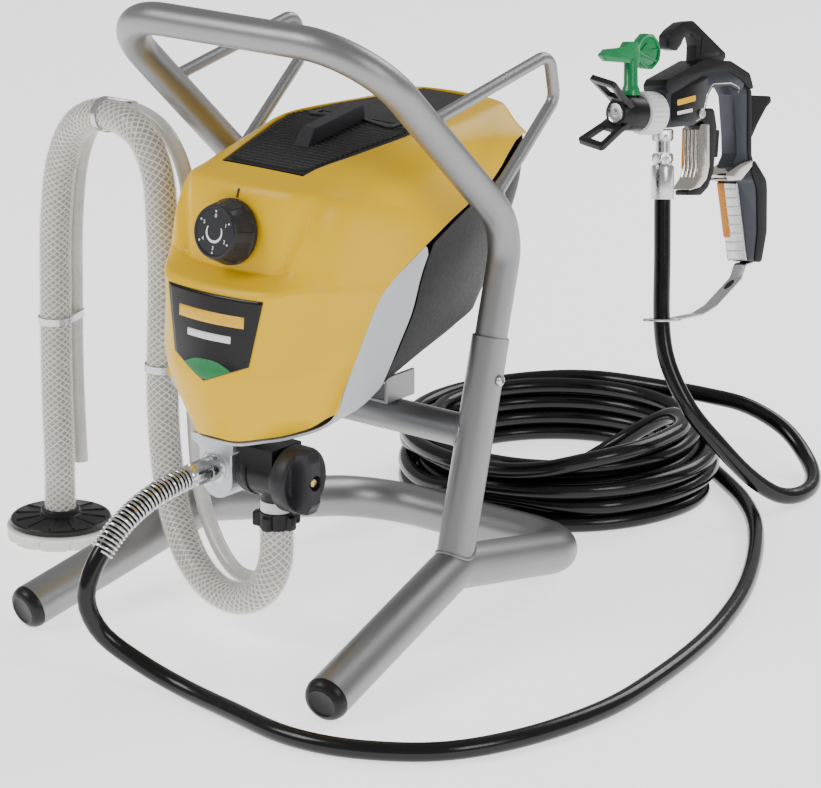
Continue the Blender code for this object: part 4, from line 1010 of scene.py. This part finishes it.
def corner_arcs(outline, radii, step_deg=12):
    """A closed flat outline with its corners rounded; radii is one value or one per corner."""
    count = len(outline)
    points = [Vector(p) for p in outline]
    result = []
    for i, here in enumerate(points):
        radius = radii[i] if isinstance(radii, (list, tuple)) else radii
        before, after = points[i - 1], points[(i + 1) % count]
        to_start, to_end = (before - here), (after - here)
        limit = 0.46 * min(to_start.length, to_end.length)
        to_start, to_end = to_start.normalized(), to_end.normalized()
        turn = math.pi - math.acos(max(-1.0, min(1.0, to_start.dot(to_end))))
        if turn < 0.02 or radius < 0.05:
            result.append(here)
            continue
        reach = min(limit, radius * math.tan(turn / 2))
        actual = reach / math.tan(turn / 2)
        centre = here + (to_start + to_end).normalized() * (actual / math.cos(turn / 2))
        first, last = here + to_start * reach - centre, here + to_end * reach - centre
        swing = first.angle_signed(last)
        steps_here = max(1, round(math.degrees(abs(swing)) / step_deg))
        for j in range(steps_here + 1):
            a = -swing * j / steps_here
            result.append(centre + Vector((first.x * math.cos(a) - first.y * math.sin(a),
                                           first.x * math.sin(a) + first.y * math.cos(a))))
    return result


def plate(name, outlines, low, high, matrix, mat, body="root", replaces=(), slot=None, edge=0.8, segments=3, smooth=30):
    """A flat piece between two heights, from an outer outline and holes, with rounded edges."""
    curve = bpy.data.curves.new(name, "CURVE")
    curve.dimensions = "2D"
    curve.fill_mode = "BOTH"
    for outline in outlines:
        line = curve.splines.new("POLY")
        line.points.add(len(outline) - 1)
        for point, (x, y) in zip(line.points, outline):
            point.co = (x, y, 0, 1)
        line.use_cyclic_u = True
    curve.extrude = (high - low) / 2
    holder = bpy.data.objects.new(name, curve)
    bpy.context.scene.collection.objects.link(holder)
    bpy.context.view_layer.update()
    flat = bpy.data.meshes.new_from_object(holder.evaluated_get(bpy.context.evaluated_depsgraph_get()))
    bpy.data.objects.remove(holder, do_unlink=True)
    work = bmesh.new()
    work.from_mesh(flat)
    bmesh.ops.remove_doubles(work, verts=work.verts, dist=0.001)
    bmesh.ops.recalc_face_normals(work, faces=work.faces)
    if edge:
        sharp = [e for e in work.edges if len(e.link_faces) == 2 and e.calc_face_angle() > math.radians(50)]
        bmesh.ops.bevel(work, geom=sharp, offset=edge, segments=segments, affect="EDGES", profile=0.5,
                        clamp_overlap=True)
    place = matrix @ Matrix.Translation((0, 0, (low + high) / 2))
    points = [place @ v.co for v in work.verts]
    faces = [tuple(v.index for v in f.verts) for f in work.faces]
    work.free()
    return solid(name, (points, faces), mat, body, replaces, smooth=smooth)


UPRIGHT = Matrix(((0, 0, 1, 0), (1, 0, 0, 0), (0, 1, 0, 0), (0, 0, 0, 1)))     # flat (a, b) onto (y, z), height onto x
GUN_PLANE = GUN @ Matrix.Scale(MM, 4) @ UPRIGHT


def hexagon(width, turn=0.0):
    """Corners of a hexagon, width across the flats."""
    r = width / math.sqrt(3)
    return [(r * math.cos(turn + math.pi * i / 3), r * math.sin(turn + math.pi * i / 3)) for i in range(6)]


# ---- Pump ----------------------------------------------------------------------------------------

PUMP_X = -15.0
NECK_Y = -100.0
BARREL = 148.0


def make_pump():
    soften("pump_block", CAST, 1.6, 3)
    front = (PUMP_X, -118.0, BARREL)
    forward = (0, -1, 0)
    fitting = [(0, 22), (6, 22), (6, 13.5), (7.4, 13.5), (10.3, 12.6), (10.3, 2.4), (12.2, 1.8), (12.2, 0.3), (0, 0.3)]
    solid("outlet_fitting_turned", moved(lathe(fitting, 36), facing(front, forward)), STEEL,
          replaces=("outlet_fitting",))

    def six(angle, radius, height):
        if radius < 9.2:
            return radius
        return min(radius, 9.6 / math.cos((angle + math.pi / 6) % (math.pi / 3) - math.pi / 6))

    nut = [(0, 35.2), (7.6, 35.2), (8.9, 33.6), (9.1, 31.4), (11.1, 30.2), (11.1, 14.8), (9.8, 13.4), (8.5, 13.4), (0, 13.4)]
    solid("hose_nut_hex", moved(lathe(nut, 72, six), facing(front, forward)), STEEL, "hose_nut", ("hose_nut",))
    # The block's round nose behind the nut
    boss = [(0, 1.2), (13.2, 1.2), (14.6, 0.2), (14.8, -1), (0, -1)]
    solid("pump_block_boss", moved(lathe(boss, 48), facing(front, forward)), CAST)
    flange = corner_arcs([(PUMP_X - 22, 173.5), (PUMP_X + 21.6, 173.5), (PUMP_X + 21.6, 164.5), (PUMP_X + 17.8, 161),
                          (PUMP_X - 7, 160.2), (PUMP_X - 22, 168.5)], 1.0)
    upright = Matrix.Translation(world((0, 0, 0))) @ Matrix.Scale(MM, 4) @ Matrix(
        ((1, 0, 0, 0), (0, 0, -1, 0), (0, 1, 0, 0), (0, 0, 0, 1)))
    plate("pump_block_flange", [flange], 86.0, 121.2, upright, CAST, slot="cast_aluminium", edge=0.9)
    make_valve()


def make_valve():
    """Black inlet housing, the suction nut below it and the prime knob on its end."""
    x = 33.0
    soften("inlet_housing", BLACK_SATIN, 1.2, 3)
    lip = [(18.9, 6), (20.0, 5.6), (20.2, 4.8), (20.2, 1.2), (19.8, 0.4), (18.9, 0)]
    rings = [moved(lathe(lip, 48, closed=True), facing((at, NECK_Y, BARREL), (1, 0, 0))) for at in (40.9, 12.0)]
    cheeks = []
    for side in (-1, 1):
        cheeks.append(moved(lathe([(0, 2), (3.6, 2), (4.2, 1.4), (4.2, -6), (0, -6)], 24),
                            facing((27, NECK_Y + side * 13.5, 160), (0, side, 0.3))))
    solid("inlet_housing_lips", merged(*rings, *cheeks), BLACK_SATIN)

    def wing(angle, radius, height):
        if radius < 15.0:
            return radius
        swell = ease(math.cos(angle * 5 + 0.6), 0.1, 0.75)
        return 14.2 + (radius - 14.2) * swell

    nut = [(12.4, 6.3), (14.2, 6.3), (17.6, 5.6), (19.2, 4.2), (19.4, -4.6), (18.6, -5.9), (15.0, -6.5), (12.4, -6.5)]
    solid("suction_nut_winged", moved(lathe(nut, 144, wing, closed=True), facing((x, NECK_Y, 111), (0, 0, 1))),
          BLACK_SATIN, "suction_nut", ("suction_nut",))
    collar = [(11.6, 126.5), (12.7, 126.5), (12.9, 126), (12.9, 118.2), (12.6, 117.8), (11.6, 117.8)]
    solid("suction_neck_collar", moved(lathe(collar, 40, closed=True), facing((x, NECK_Y, 0), (0, 0, 1))), WHITE)
    barb = [(0, 126.5), (7.2, 126.5), (7.6, 126), (7.6, 122), (5.6, 121.5), (5.6, 118.6), (6.8, 118), (6.3, 115), (6.5, 114.4),
            (6.5, 110), (0, 110)]
    solid("return_nipple_turned", moved(lathe(barb, 32), facing((12, -84, 0), (0, 0, 1))), WHITE,
          replaces=("return_nipple",))
    place = facing((47, NECK_Y, BARREL), (1, 0, 0))
    solid("prime_knob_grip", moved(prime_grip(), place), DARK, "prime_valve", ("prime_knob",), smooth=38)
    screw = [(0, 24.6), (2.6, 24.6), (3.4, 24.2), (4, 23), (4, 21.5), (0, 21.5)]
    solid("prime_screw_head", moved(lathe(screw, 28), place), BRASS, "prime_valve", ("prime_screw",))


def prime_grip():
    """A round knob with a straight grip across its face and a scoop on either side of the grip."""
    radius, steps, rings = 26.2, 96, 26
    points, faces = [], []

    def height(along, across):
        ridge = 1 - ease(abs(across), 5.5, 10.5)
        rim = ease(math.hypot(along, across), 15.0, 25.0)
        floor = 8.5 + 7.0 * rim
        crown = 26.3 - 3.5 * ease(abs(along), 16.0, 26.0)
        return floor + (crown - floor) * ridge

    for k in range(rings + 1):
        r = 6.3 + (radius - 6.3) * k / rings
        for i in range(steps):
            a = 2 * math.pi * i / steps
            along, across = r * math.cos(a), r * math.sin(a)
            points.append(Vector((along, across, height(along, across) - (0.8 if k == rings else 0.0))))
    sides = ((radius + 0.5, None), (radius + 0.6, 2.5), (radius - 0.6, 0.6), (radius - 2, 0.3), (6.3, 0.3))
    for r, level in sides:
        for i in range(steps):
            a = 2 * math.pi * i / steps
            x, y = r * math.cos(a), r * math.sin(a)
            points.append(Vector((x, y, level if level is not None else height(x, y) - 2.2)))
    count = rings + 1 + len(sides)
    for k in range(count):
        below = (k + 1) % count
        for i in range(steps):
            j = (i + 1) % steps
            faces.append((k * steps + i, k * steps + j, below * steps + j, below * steps + i))
    return points, faces


# ---- Spray gun -----------------------------------------------------------------------------------

def gun_lathe(name, profile, location, axis, mat, body="root", replaces=(), steps=48, shape=None,
              closed=False, smooth=35):
    shape3d = moved(lathe(profile, steps, shape, closed), gun_facing(location, axis))
    return solid(name, shape3d, mat, body, replaces, smooth=smooth)


def ribbon(points, thickness):
    """Outline of a bent strip of even thickness along a line of flat points."""
    points = [Vector(p) for p in points]
    sides = ([], [])
    for i, point in enumerate(points):
        along = (points[min(i + 1, len(points) - 1)] - points[max(i - 1, 0)]).normalized()
        across = Vector((-along.y, along.x)) * thickness / 2
        sides[0].append(point + across)
        sides[1].append(point - across)
    return [tuple(p) for p in sides[0] + sides[1][::-1]]


def make_gun():
    # Body: its head, the slimmer neck down behind the trigger, and the handle
    head = [(50, 25), (50, -13), (86, -10), (98, -5), (106, 17), (112, 24), (134, 25), (150, 20), (158, 34), (133, 44),
            (97, 44)]
    plate("gun_head_casting", [corner_arcs(head, [3, 3, 4, 6, 8, 6, 6, 6, 8, 10, 10])], -12.4, 12.4, GUN_PLANE,
          GUN_GREY, "root", ("gun_body",), edge=3.2, segments=4)
    neck = [(130, 32), (143, 16), (147, -18), (148, -36), (141, -47), (150, -58), (170, -44), (165, -34), (165, 18),
            (157, 33)]
    plate("gun_neck_casting", [corner_arcs(neck, [3, 8, 8, 5, 3, 3, 3, 8, 8, 6])], -8.8, 8.8, GUN_PLANE, GUN_GREY,
          slot="dark_grey_plastic", edge=2.6, segments=4)
    handle = [(146, -46), (131, -54), (131, -58), (148, -60), (161, -130), (176, -130), (183, -104), (183, -57),
              (168, -40)]
    plate("gun_handle_casting", [corner_arcs(handle, [3, 2, 2, 4, 3, 6, 12, 10, 8])], -12.4, 12.4, GUN_PLANE, GUN_GREY,
          slot="dark_grey_plastic", edge=3.2, segments=4)
    make_gun_panels()
    make_trigger()
    make_gun_front()
    make_gun_grip()
    make_gun_inlet()


def make_gun_panels():
    """Black hood and hook over the head, the rear spur, and the plain panel let into each side."""
    hood = [(49, 24), (52, 29), (97, 46.5), (134, 46.5), (160, 36), (166, 21), (157, 24), (150, 30), (132, 37.5),
            (99, 35.5), (58, 18.5), (51, 16)]
    plate("gun_hood", [corner_arcs(hood, [2, 4, 8, 8, 6, 3, 3, 6, 8, 8, 4, 2])], -13.3, 13.3, GUN_PLANE,
          BLACK_SATIN, slot="black_plastic", edge=2.0, segments=4)
    spine = corner_arcs([(160, 30), (167, 20), (167.5, -36), (172, -46), (165, -44), (162, -32), (162, 16)], 3.0)
    plate("gun_neck_spine", [spine], -9.4, 9.4, GUN_PLANE, BLACK_SATIN, slot="black_plastic", edge=1.4, segments=3)
    hook = [(60.5, 67), (61, 56), (71, 54), (77, 60), (80, 65), (88, 70), (94, 68), (97, 60), (96, 44.4), (131, 44.4),
            (138, 52), (92, 81), (79, 79), (67, 72.5)]
    cut_out = corner_arcs([(102, 50), (125, 50), (128, 54), (104, 69)], 2.0)
    plate("gun_hook_moulding", [corner_arcs(hook, [3, 3, 3, 3, 4, 5, 5, 6, 2, 2, 4, 8, 6, 5])], -5.8, 5.8, GUN_PLANE,
          BLACK_SATIN, "root", ("gun_hook",), edge=1.6, segments=3)
    panel = corner_arcs([(57, 16), (57, -8), (84, -7), (96, 1), (101, 22), (106, 32.5), (98, 32.5)],
                        [2, 3, 4, 5, 6, 3, 6])
    spur = corner_arcs([(164, 17), (195, 16.5), (196.5, 11.5), (189, 6), (178, -8), (170, -20), (164, -22)],
                       [1, 3, 3, 6, 8, 4, 1])
    plate("gun_spur", [spur], -7.5, 7.5, GUN_PLANE, BLACK_SATIN, slot="black_plastic", edge=1.8, segments=3)
    for side, label in ((1, "right"), (-1, "left")):
        low, high = sorted((side * 5.2, side * 6.3))
        plate("gun_hook_recess_" + label, [cut_out], low, high, GUN_PLANE, BLACK, slot="black_plastic", edge=0.3,
              segments=2)
        low, high = sorted((side * 12.0, side * 13.0))
        plate("gun_panel_" + label, [panel], low, high, GUN_PLANE, LABEL, slot="black_plastic", edge=0.35,
              segments=2)
        bar = corner_arcs([(64, 11.5), (64, 6.5), (88, 11), (88, 16)], 1.2)
        low, high = sorted((side * 12.9, side * 13.2))
        plate("gun_panel_bar_" + label, [bar], low, high, GUN_PLANE, LABEL_YELLOW, slot="yellow_plastic", edge=0)
        white = corner_arcs([(64, 1.5), (64, -1.5), (84, 1.5), (84, 4.5)], 0.8)
        plate("gun_panel_line_" + label, [white], low, high, GUN_PLANE, PRINT, slot="white_plastic", edge=0)
        # Bright seam round the window and down the neck, and the pivot's head
        seam = [(84, -8.4), (97, -3.5), (104.5, 18), (111, 26), (136, 27), (152, 22)]
        line = [gun((side * 12.2, p.x, p.y)) for p in corner_arcs(seam, 5.0)][1:-1]
        solid("gun_seam_" + label, sweep(line, 0.55, 8, 0.4), CHROME)
        gun_lathe("trigger_pivot_" + label, [(0, 2.6), (3.4, 2.6), (4.2, 1.8), (4.2, 0), (0, 0)],
                  (side * 12.3, 96, 0), (side, 0, 0), STEEL, steps=28)
    ledge = corner_arcs([(128, -52.5), (148, -44), (166, -40), (166, -44), (149, -58), (131, -58.5)], 2.0)
    plate("finger_rest", [ledge], -13.2, 13.2, GUN_PLANE, CHROME, slot="plated_steel", edge=1.2, segments=3)


def make_trigger():
    """Black arm at the back, and the bright channel with ridges down its length at the front."""
    y, z = TRIGGER_PIVOT
    arm = [(y - 5, z + 5), (y + 23, z + 5), (y + 27, z - 12), (y + 23, z - 50), (y + 16, z - 64), (y + 6, z - 71),
           (y - 11, z - 71), (y - 11.5, z - 67), (y + 3, z - 64.5), (y + 12, z - 56), (y + 15, z - 46), (y + 15, z - 14),
           (y + 8, z - 6), (y - 5, z - 6)]
    radii = [4, 5, 8, 10, 8, 5, 1.5, 1.5, 6, 8, 10, 8, 6, 4]
    plate("trigger_arm", [corner_arcs(arm, radii)], -7.2, 7.2, GUN_PLANE, BLACK_SATIN, "trigger", ("trigger",),
          "black_plastic", edge=1.4, segments=3)
    channel = [(y + 3, z - 9), (y + 14.5, z - 9), (y + 15, z - 46), (y + 11.5, z - 57), (y + 3, z - 64), (y - 11, z - 66.5),
               (y - 13, z - 66), (y - 3, z - 56), (y, z - 48), (y + 1.5, z - 14)]
    inner = corner_arcs(channel, [3, 1, 8, 8, 6, 1, 1.5, 10, 10, 4])
    plate("trigger_channel", [inner], -9.2, 9.2, GUN_PLANE, CHROME, "trigger", (), "plated_steel", edge=1.6, segments=3)
    ridges = []
    for x in (-6.6, -2.2, 2.2, 6.6):
        run = [(y + 1.0, z - 14), (y + 0.4, z - 30), (y - 0.4, z - 47), (y - 3.2, z - 55.5)]
        ridges.append(sweep([gun((x, a, b)) for a, b in run], 1.15, 10, 1.0))
    solid("trigger_ridges", merged(*ridges), CHROME, "trigger")
    edges = [sweep([gun((-9.4, y + 1.6, z - 13)), gun((-9.4, y + 0.6, z - 48))], 1.2, 10, 1.0)]
    solid("trigger_amber_edge", merged(*edges), AMBER, "trigger")
    lock = corner_arcs([(y + 27.2, -14), (y + 31.2, -14), (y + 28.8, -38), (y + 24.8, -38)], 1.5)
    plate("trigger_lock_lever", [lock], -6.8, 6.8, GUN_PLANE, BLACK_SATIN, "trigger", ("trigger_lock",), edge=1.0)


TRIGGER_PIVOT = (96.0, 0.0)


def make_gun_front():
    """White union nut, black tip guard with its windows, and the green reversible tip."""
    forward = (0, -1, 0)

    def ribbed(angle, radius, height):
        if radius < 17.4 or not -47.5 < height < -31:
            return radius
        return radius - 1.1 * (0.5 - 0.5 * math.cos(angle * 26))

    nut = [(0, -28), (15.5, -28), (17.0, -28.6), (18.0, -30.2), (18.9, -31.6), (18.9, -46.8), (18.2, -48.4), (16, -49.6), (0, -49.6)]
    gun_lathe("union_nut_ribbed", nut, (0, 0, 0), forward, WHITE, "union_nut", ("union_nut",), steps=208, shape=ribbed)
    collar = [(8.2, 0.6), (11.4, 0.4), (12.6, -1.2), (13.6, -5), (14.8, -10), (15.4, -12), (15.4, -26.8), (14.6, -27.6), (6.4, -27.6)]
    gun_lathe("tip_guard_collar", collar, (0, 0, 0), forward, BLACK_SATIN, "tip_guard", ("tip_guard",), closed=True)
    roll = Matrix.Rotation(math.radians(14), 4, "Y")
    for side, label in ((1, "upper"), (-1, "lower")):
        run = Vector((0, -30.0, side * 19.5)).normalized()
        across = Vector((1, 0, 0))
        start = Vector((0, 5.0, side * 8.5))
        lay = Matrix.Translation(start) @ Matrix((across, run, across.cross(run))).transposed().to_4x4()
        outer = corner_arcs([(-12, -8), (12, -8), (11.5, 8), (14.5, 33.5), (13, 36.5), (-13, 36.5), (-14.5, 33.5),
                             (-11.5, 8)], [1, 1, 6, 2, 2, 2, 2, 6])
        window = corner_arcs([(-6.8, 12), (6.8, 12), (9.0, 30.5), (-9.0, 30.5)], 1.2)
        plate("guard_prong_" + label, [outer, window], -2.3, 2.3, GUN @ Matrix.Scale(MM, 4) @ roll @ lay, BLACK_SATIN,
              "tip_guard", (), "black_plastic", 1.0)
    disc = [(0, 2.6), (1.8, 2.6), (2.2, 1.2), (6.4, 0.8), (8.2, 1.6), (8.6, 0.6), (8.6, -6), (0, -6)]
    gun_lathe("orifice_disc", disc, (0, 0, 0), forward, STEEL, "tip_guard", steps=40)
    barrel = [(0, 46), (5.2, 46), (6.0, 44), (6.2, 24), (7.2, 21.4), (8.2, 18), (8.2, 15.2), (5.6, 14.8), (5.6, -13.4),
              (5.0, -14), (0, -14)]
    gun_lathe("spray_tip_barrel", barrel, (0, 18.5, 0), (0, 0, 1), GREEN, "spray_tip", ("spray_tip",), steps=40)
    # Arrow handle: a pointer one way, a round paddle with ribs the other
    pointer = corner_arcs([(-19.7, 48.6), (-13, 54), (8, 56), (12, 61), (24, 61), (26, 42), (-13, 43.6)],
                          [1, 2, 2, 2, 2, 2, 2])
    plate("spray_tip_pointer", [pointer], -4.0, 4.0, GUN_PLANE, GREEN, "spray_tip", (), "green_plastic", 1.2)
    paddle = [(38 + 16.4 * math.cos(math.pi * i / 4 + 0.35), 53 + 16.4 * math.sin(math.pi * i / 4 + 0.35))
              for i in range(8)]
    plate("spray_tip_paddle", [corner_arcs(paddle, 5.0)], -2.6, 2.6, GUN_PLANE, GREEN, "spray_tip", (),
          "green_plastic", 1.4)
    rim = [gun((3.0, 38 + 13.6 * math.cos(math.pi * i / 12), 53 + 13.6 * math.sin(math.pi * i / 12))) for i in range(24)]
    back_rim = [gun((-3.0, 38 + 13.6 * math.cos(math.pi * i / 12), 53 + 13.6 * math.sin(math.pi * i / 12)))
                for i in range(24)]
    ribs = [sweep(rim, 1.3, 8, closed=True), sweep(back_rim, 1.3, 8, closed=True)]
    for side in (-1, 1):
        for a, b in ((-0.4, 1.0), (0.4, 1.0), (1.0, 0.0), (1.0, 0.7)):
            ribs.append(sweep([gun((side * 2.8, 27, 52)), gun((side * 2.8, 27 + 22 * a, 52 + 15 * (b - 0.5)))], 1.2, 8,
                              0.8))
    solid("spray_tip_ribs", merged(*ribs), GREEN, "spray_tip")


def make_gun_grip():
    """Ribbed insert down the handle's front and the black moulding on its back."""
    front = [(146.4, -60), (150, -78), (154, -98), (158, -118), (160.5, -129)]
    dense = [(p.x, p.y) for p in smooth_route([Vector((a, b, 0)) for a, b in front], 1.6)]
    plate("grip_insert", [ribbon([(a + 1.2, b) for a, b in dense], 5.0)], -10.8, 10.8, GUN_PLANE, STEEL,
          slot="plated_steel", edge=1.6)
    ribs = []
    for k in range(4, len(dense) - 4, 5):
        a, b = dense[k]
        ribs.append(sweep([gun((-10.2, a - 1.1, b)), gun((10.2, a - 1.1, b))], 0.85, 10, 0.8))
    solid("grip_insert_ribs", merged(*ribs), STEEL)
    upper = dense[:round(len(dense) * 0.72)]
    plate("grip_amber_strip", [ribbon([(a + 0.4, b) for a, b in upper], 5.0)], -12.0, -3.6, GUN_PLANE, AMBER,
          slot="yellow_plastic", edge=1.2)
    back = [(165, -38), (183.5, -58), (184.6, -66), (184.6, -104), (177.6, -131), (168, -131), (172, -104), (171, -66),
            (163, -50)]
    plate("rear_grip", [corner_arcs(back, [6, 10, 8, 12, 4, 3, 14, 18, 4])], -13.3, 13.3, GUN_PLANE, BLACK_SATIN,
          slot="black_plastic", edge=3.4, segments=4)


def make_gun_inlet():
    """Hexagon inlet, the hose's ferrule, and the strap that carries the hose from the handle's foot."""
    down = (0, 0, -1)
    at = (0, INLET_Y, 0)

    def six(angle, radius, height):
        if radius < 8.2:
            return radius
        return min(radius, 8.5 / math.cos((angle + math.pi / 6) % (math.pi / 3) - math.pi / 6))

    inlet = [(0, 34), (6.2, 34), (6.2, 24), (7.8, 24), (9.8, 22.8), (9.8, 14.4), (8, 13.3), (0, 13.3)]
    gun_lathe("gun_inlet_hex", inlet, at, down, STEEL, "root", ("gun_inlet",), steps=72, shape=six)
    ferrule = [(0, 74.2), (9.6, 74.2), (10.0, 73.6), (10.0, 46.5), (9.6, 45.4), (8.0, 44.6), (8.0, 42.6), (9.8, 41.2),
               (9.8, 36.0), (8.4, 34.4), (0, 34.3)]

    def hex_top(angle, radius, height):
        if height > 42 or radius < 8.2:
            return radius
        return min(radius, 8.4 / math.cos((angle + math.pi / 6) % (math.pi / 3) - math.pi / 6))

    gun_lathe("hose_ferrule_crimped", ferrule, at, down, STEEL, "root", ("hose_ferrule",), steps=72, shape=hex_top)
    line = [(174, -131.6), (164, -133), (158, -145.5), (124, -169), (107, -175.5), (74, -179)]
    route = [(p.x, p.y) for p in rounded([Vector((a, b, 0)) for a, b in line], (4.0, 9.0, 14.0, 10.0), 8)]
    plate("hose_guide_strap", [ribbon(route, 1.8)], -6.8, 6.8, GUN_PLANE, STEEL, "root", ("hose_guide",), edge=0.4)
    ring = [(16.4, 178), (17.0, 179), (16.4, 180), (11.2, 180), (10.6, 179), (11.2, 178)]
    gun_lathe("hose_guide_ring", ring, at, down, STEEL, closed=True)
    # Oval slot in the strap, drawn as a shallow black tray on each face: painted shade standing in for the open slot
    slope = Vector((158 - 124, -145.5 + 169)).normalized()
    middle = Vector((149.5, -151.4))
    out = Vector((-slope.y, slope.x))
    for face, label in ((0.75, "upper"), (-1.0, "lower")):
        window = []
        for lift in (0.0, 0.25):
            for i in range(24):
                a = 2 * math.pi * i / 24
                flat = middle + slope * (7.0 * math.cos(a)) + out * (face + lift)
                window.append(gun((3.4 * math.sin(a), flat.x, flat.y)))
        walls = [(i, (i + 1) % 24, 24 + (i + 1) % 24, 24 + i) for i in range(24)]
        solid("hose_guide_slot_painted_shade_" + label, (window, walls + [tuple(range(24)), tuple(range(24, 48))]), BLACK)


# ---- Fittings on the rear wall, and everything inside --------------------------------------------

def make_rear():
    soften("power_inlet", BLACK_SATIN, 0.8, 3)
    soften("power_switch", DARK, 0.6, 3)
    pins = []
    for x, z in ((-12, 306.5), (0, 306.5), (-6, 312.5)):
        pins.append(sweep([world((x, 155.5, z)), world((x, 167.0, z))], 1.5, 12, 0.7))
    solid("power_inlet_pins", merged(*pins), STEEL)


def make_inside():
    soften("storage_tray", DARK, 0.8)
    for node in ("motor_case", "armature", "drive_gear", "gear_shaft", "connecting_rod", "piston", "pressure_control"):
        soften(node, CAST if node == "connecting_rod" else STEEL, 0.3, 1)
    soften("cooling_fan", BLACK, 0.3, 1)
    soften("circuit_board", BOARD, 0.2, 1)
    by_slot = {"silver_paint": SILVER, "yellow_plastic": YELLOW, "pale_grey_plastic": PALE, "black_plastic": BLACK,
               "dark_grey_plastic": DARK, "plated_steel": STEEL, "cast_aluminium": CAST, "brass": BRASS,
               "white_plastic": WHITE, "clear_hose": HOSE_PLAIN, "black_hose": HOSE_BLACK, "green_plastic": GREEN,
               "circuit_board": BOARD}
    for name, node in NODES.items():
        if node.type == "MESH":
            for slot in node.material_slots:
                slot.material = by_slot[SLOT_OF[name]]


make_stage()
make_hoses()
make_stand()
make_housing()
make_pump()
make_gun()
make_rear()
make_inside()
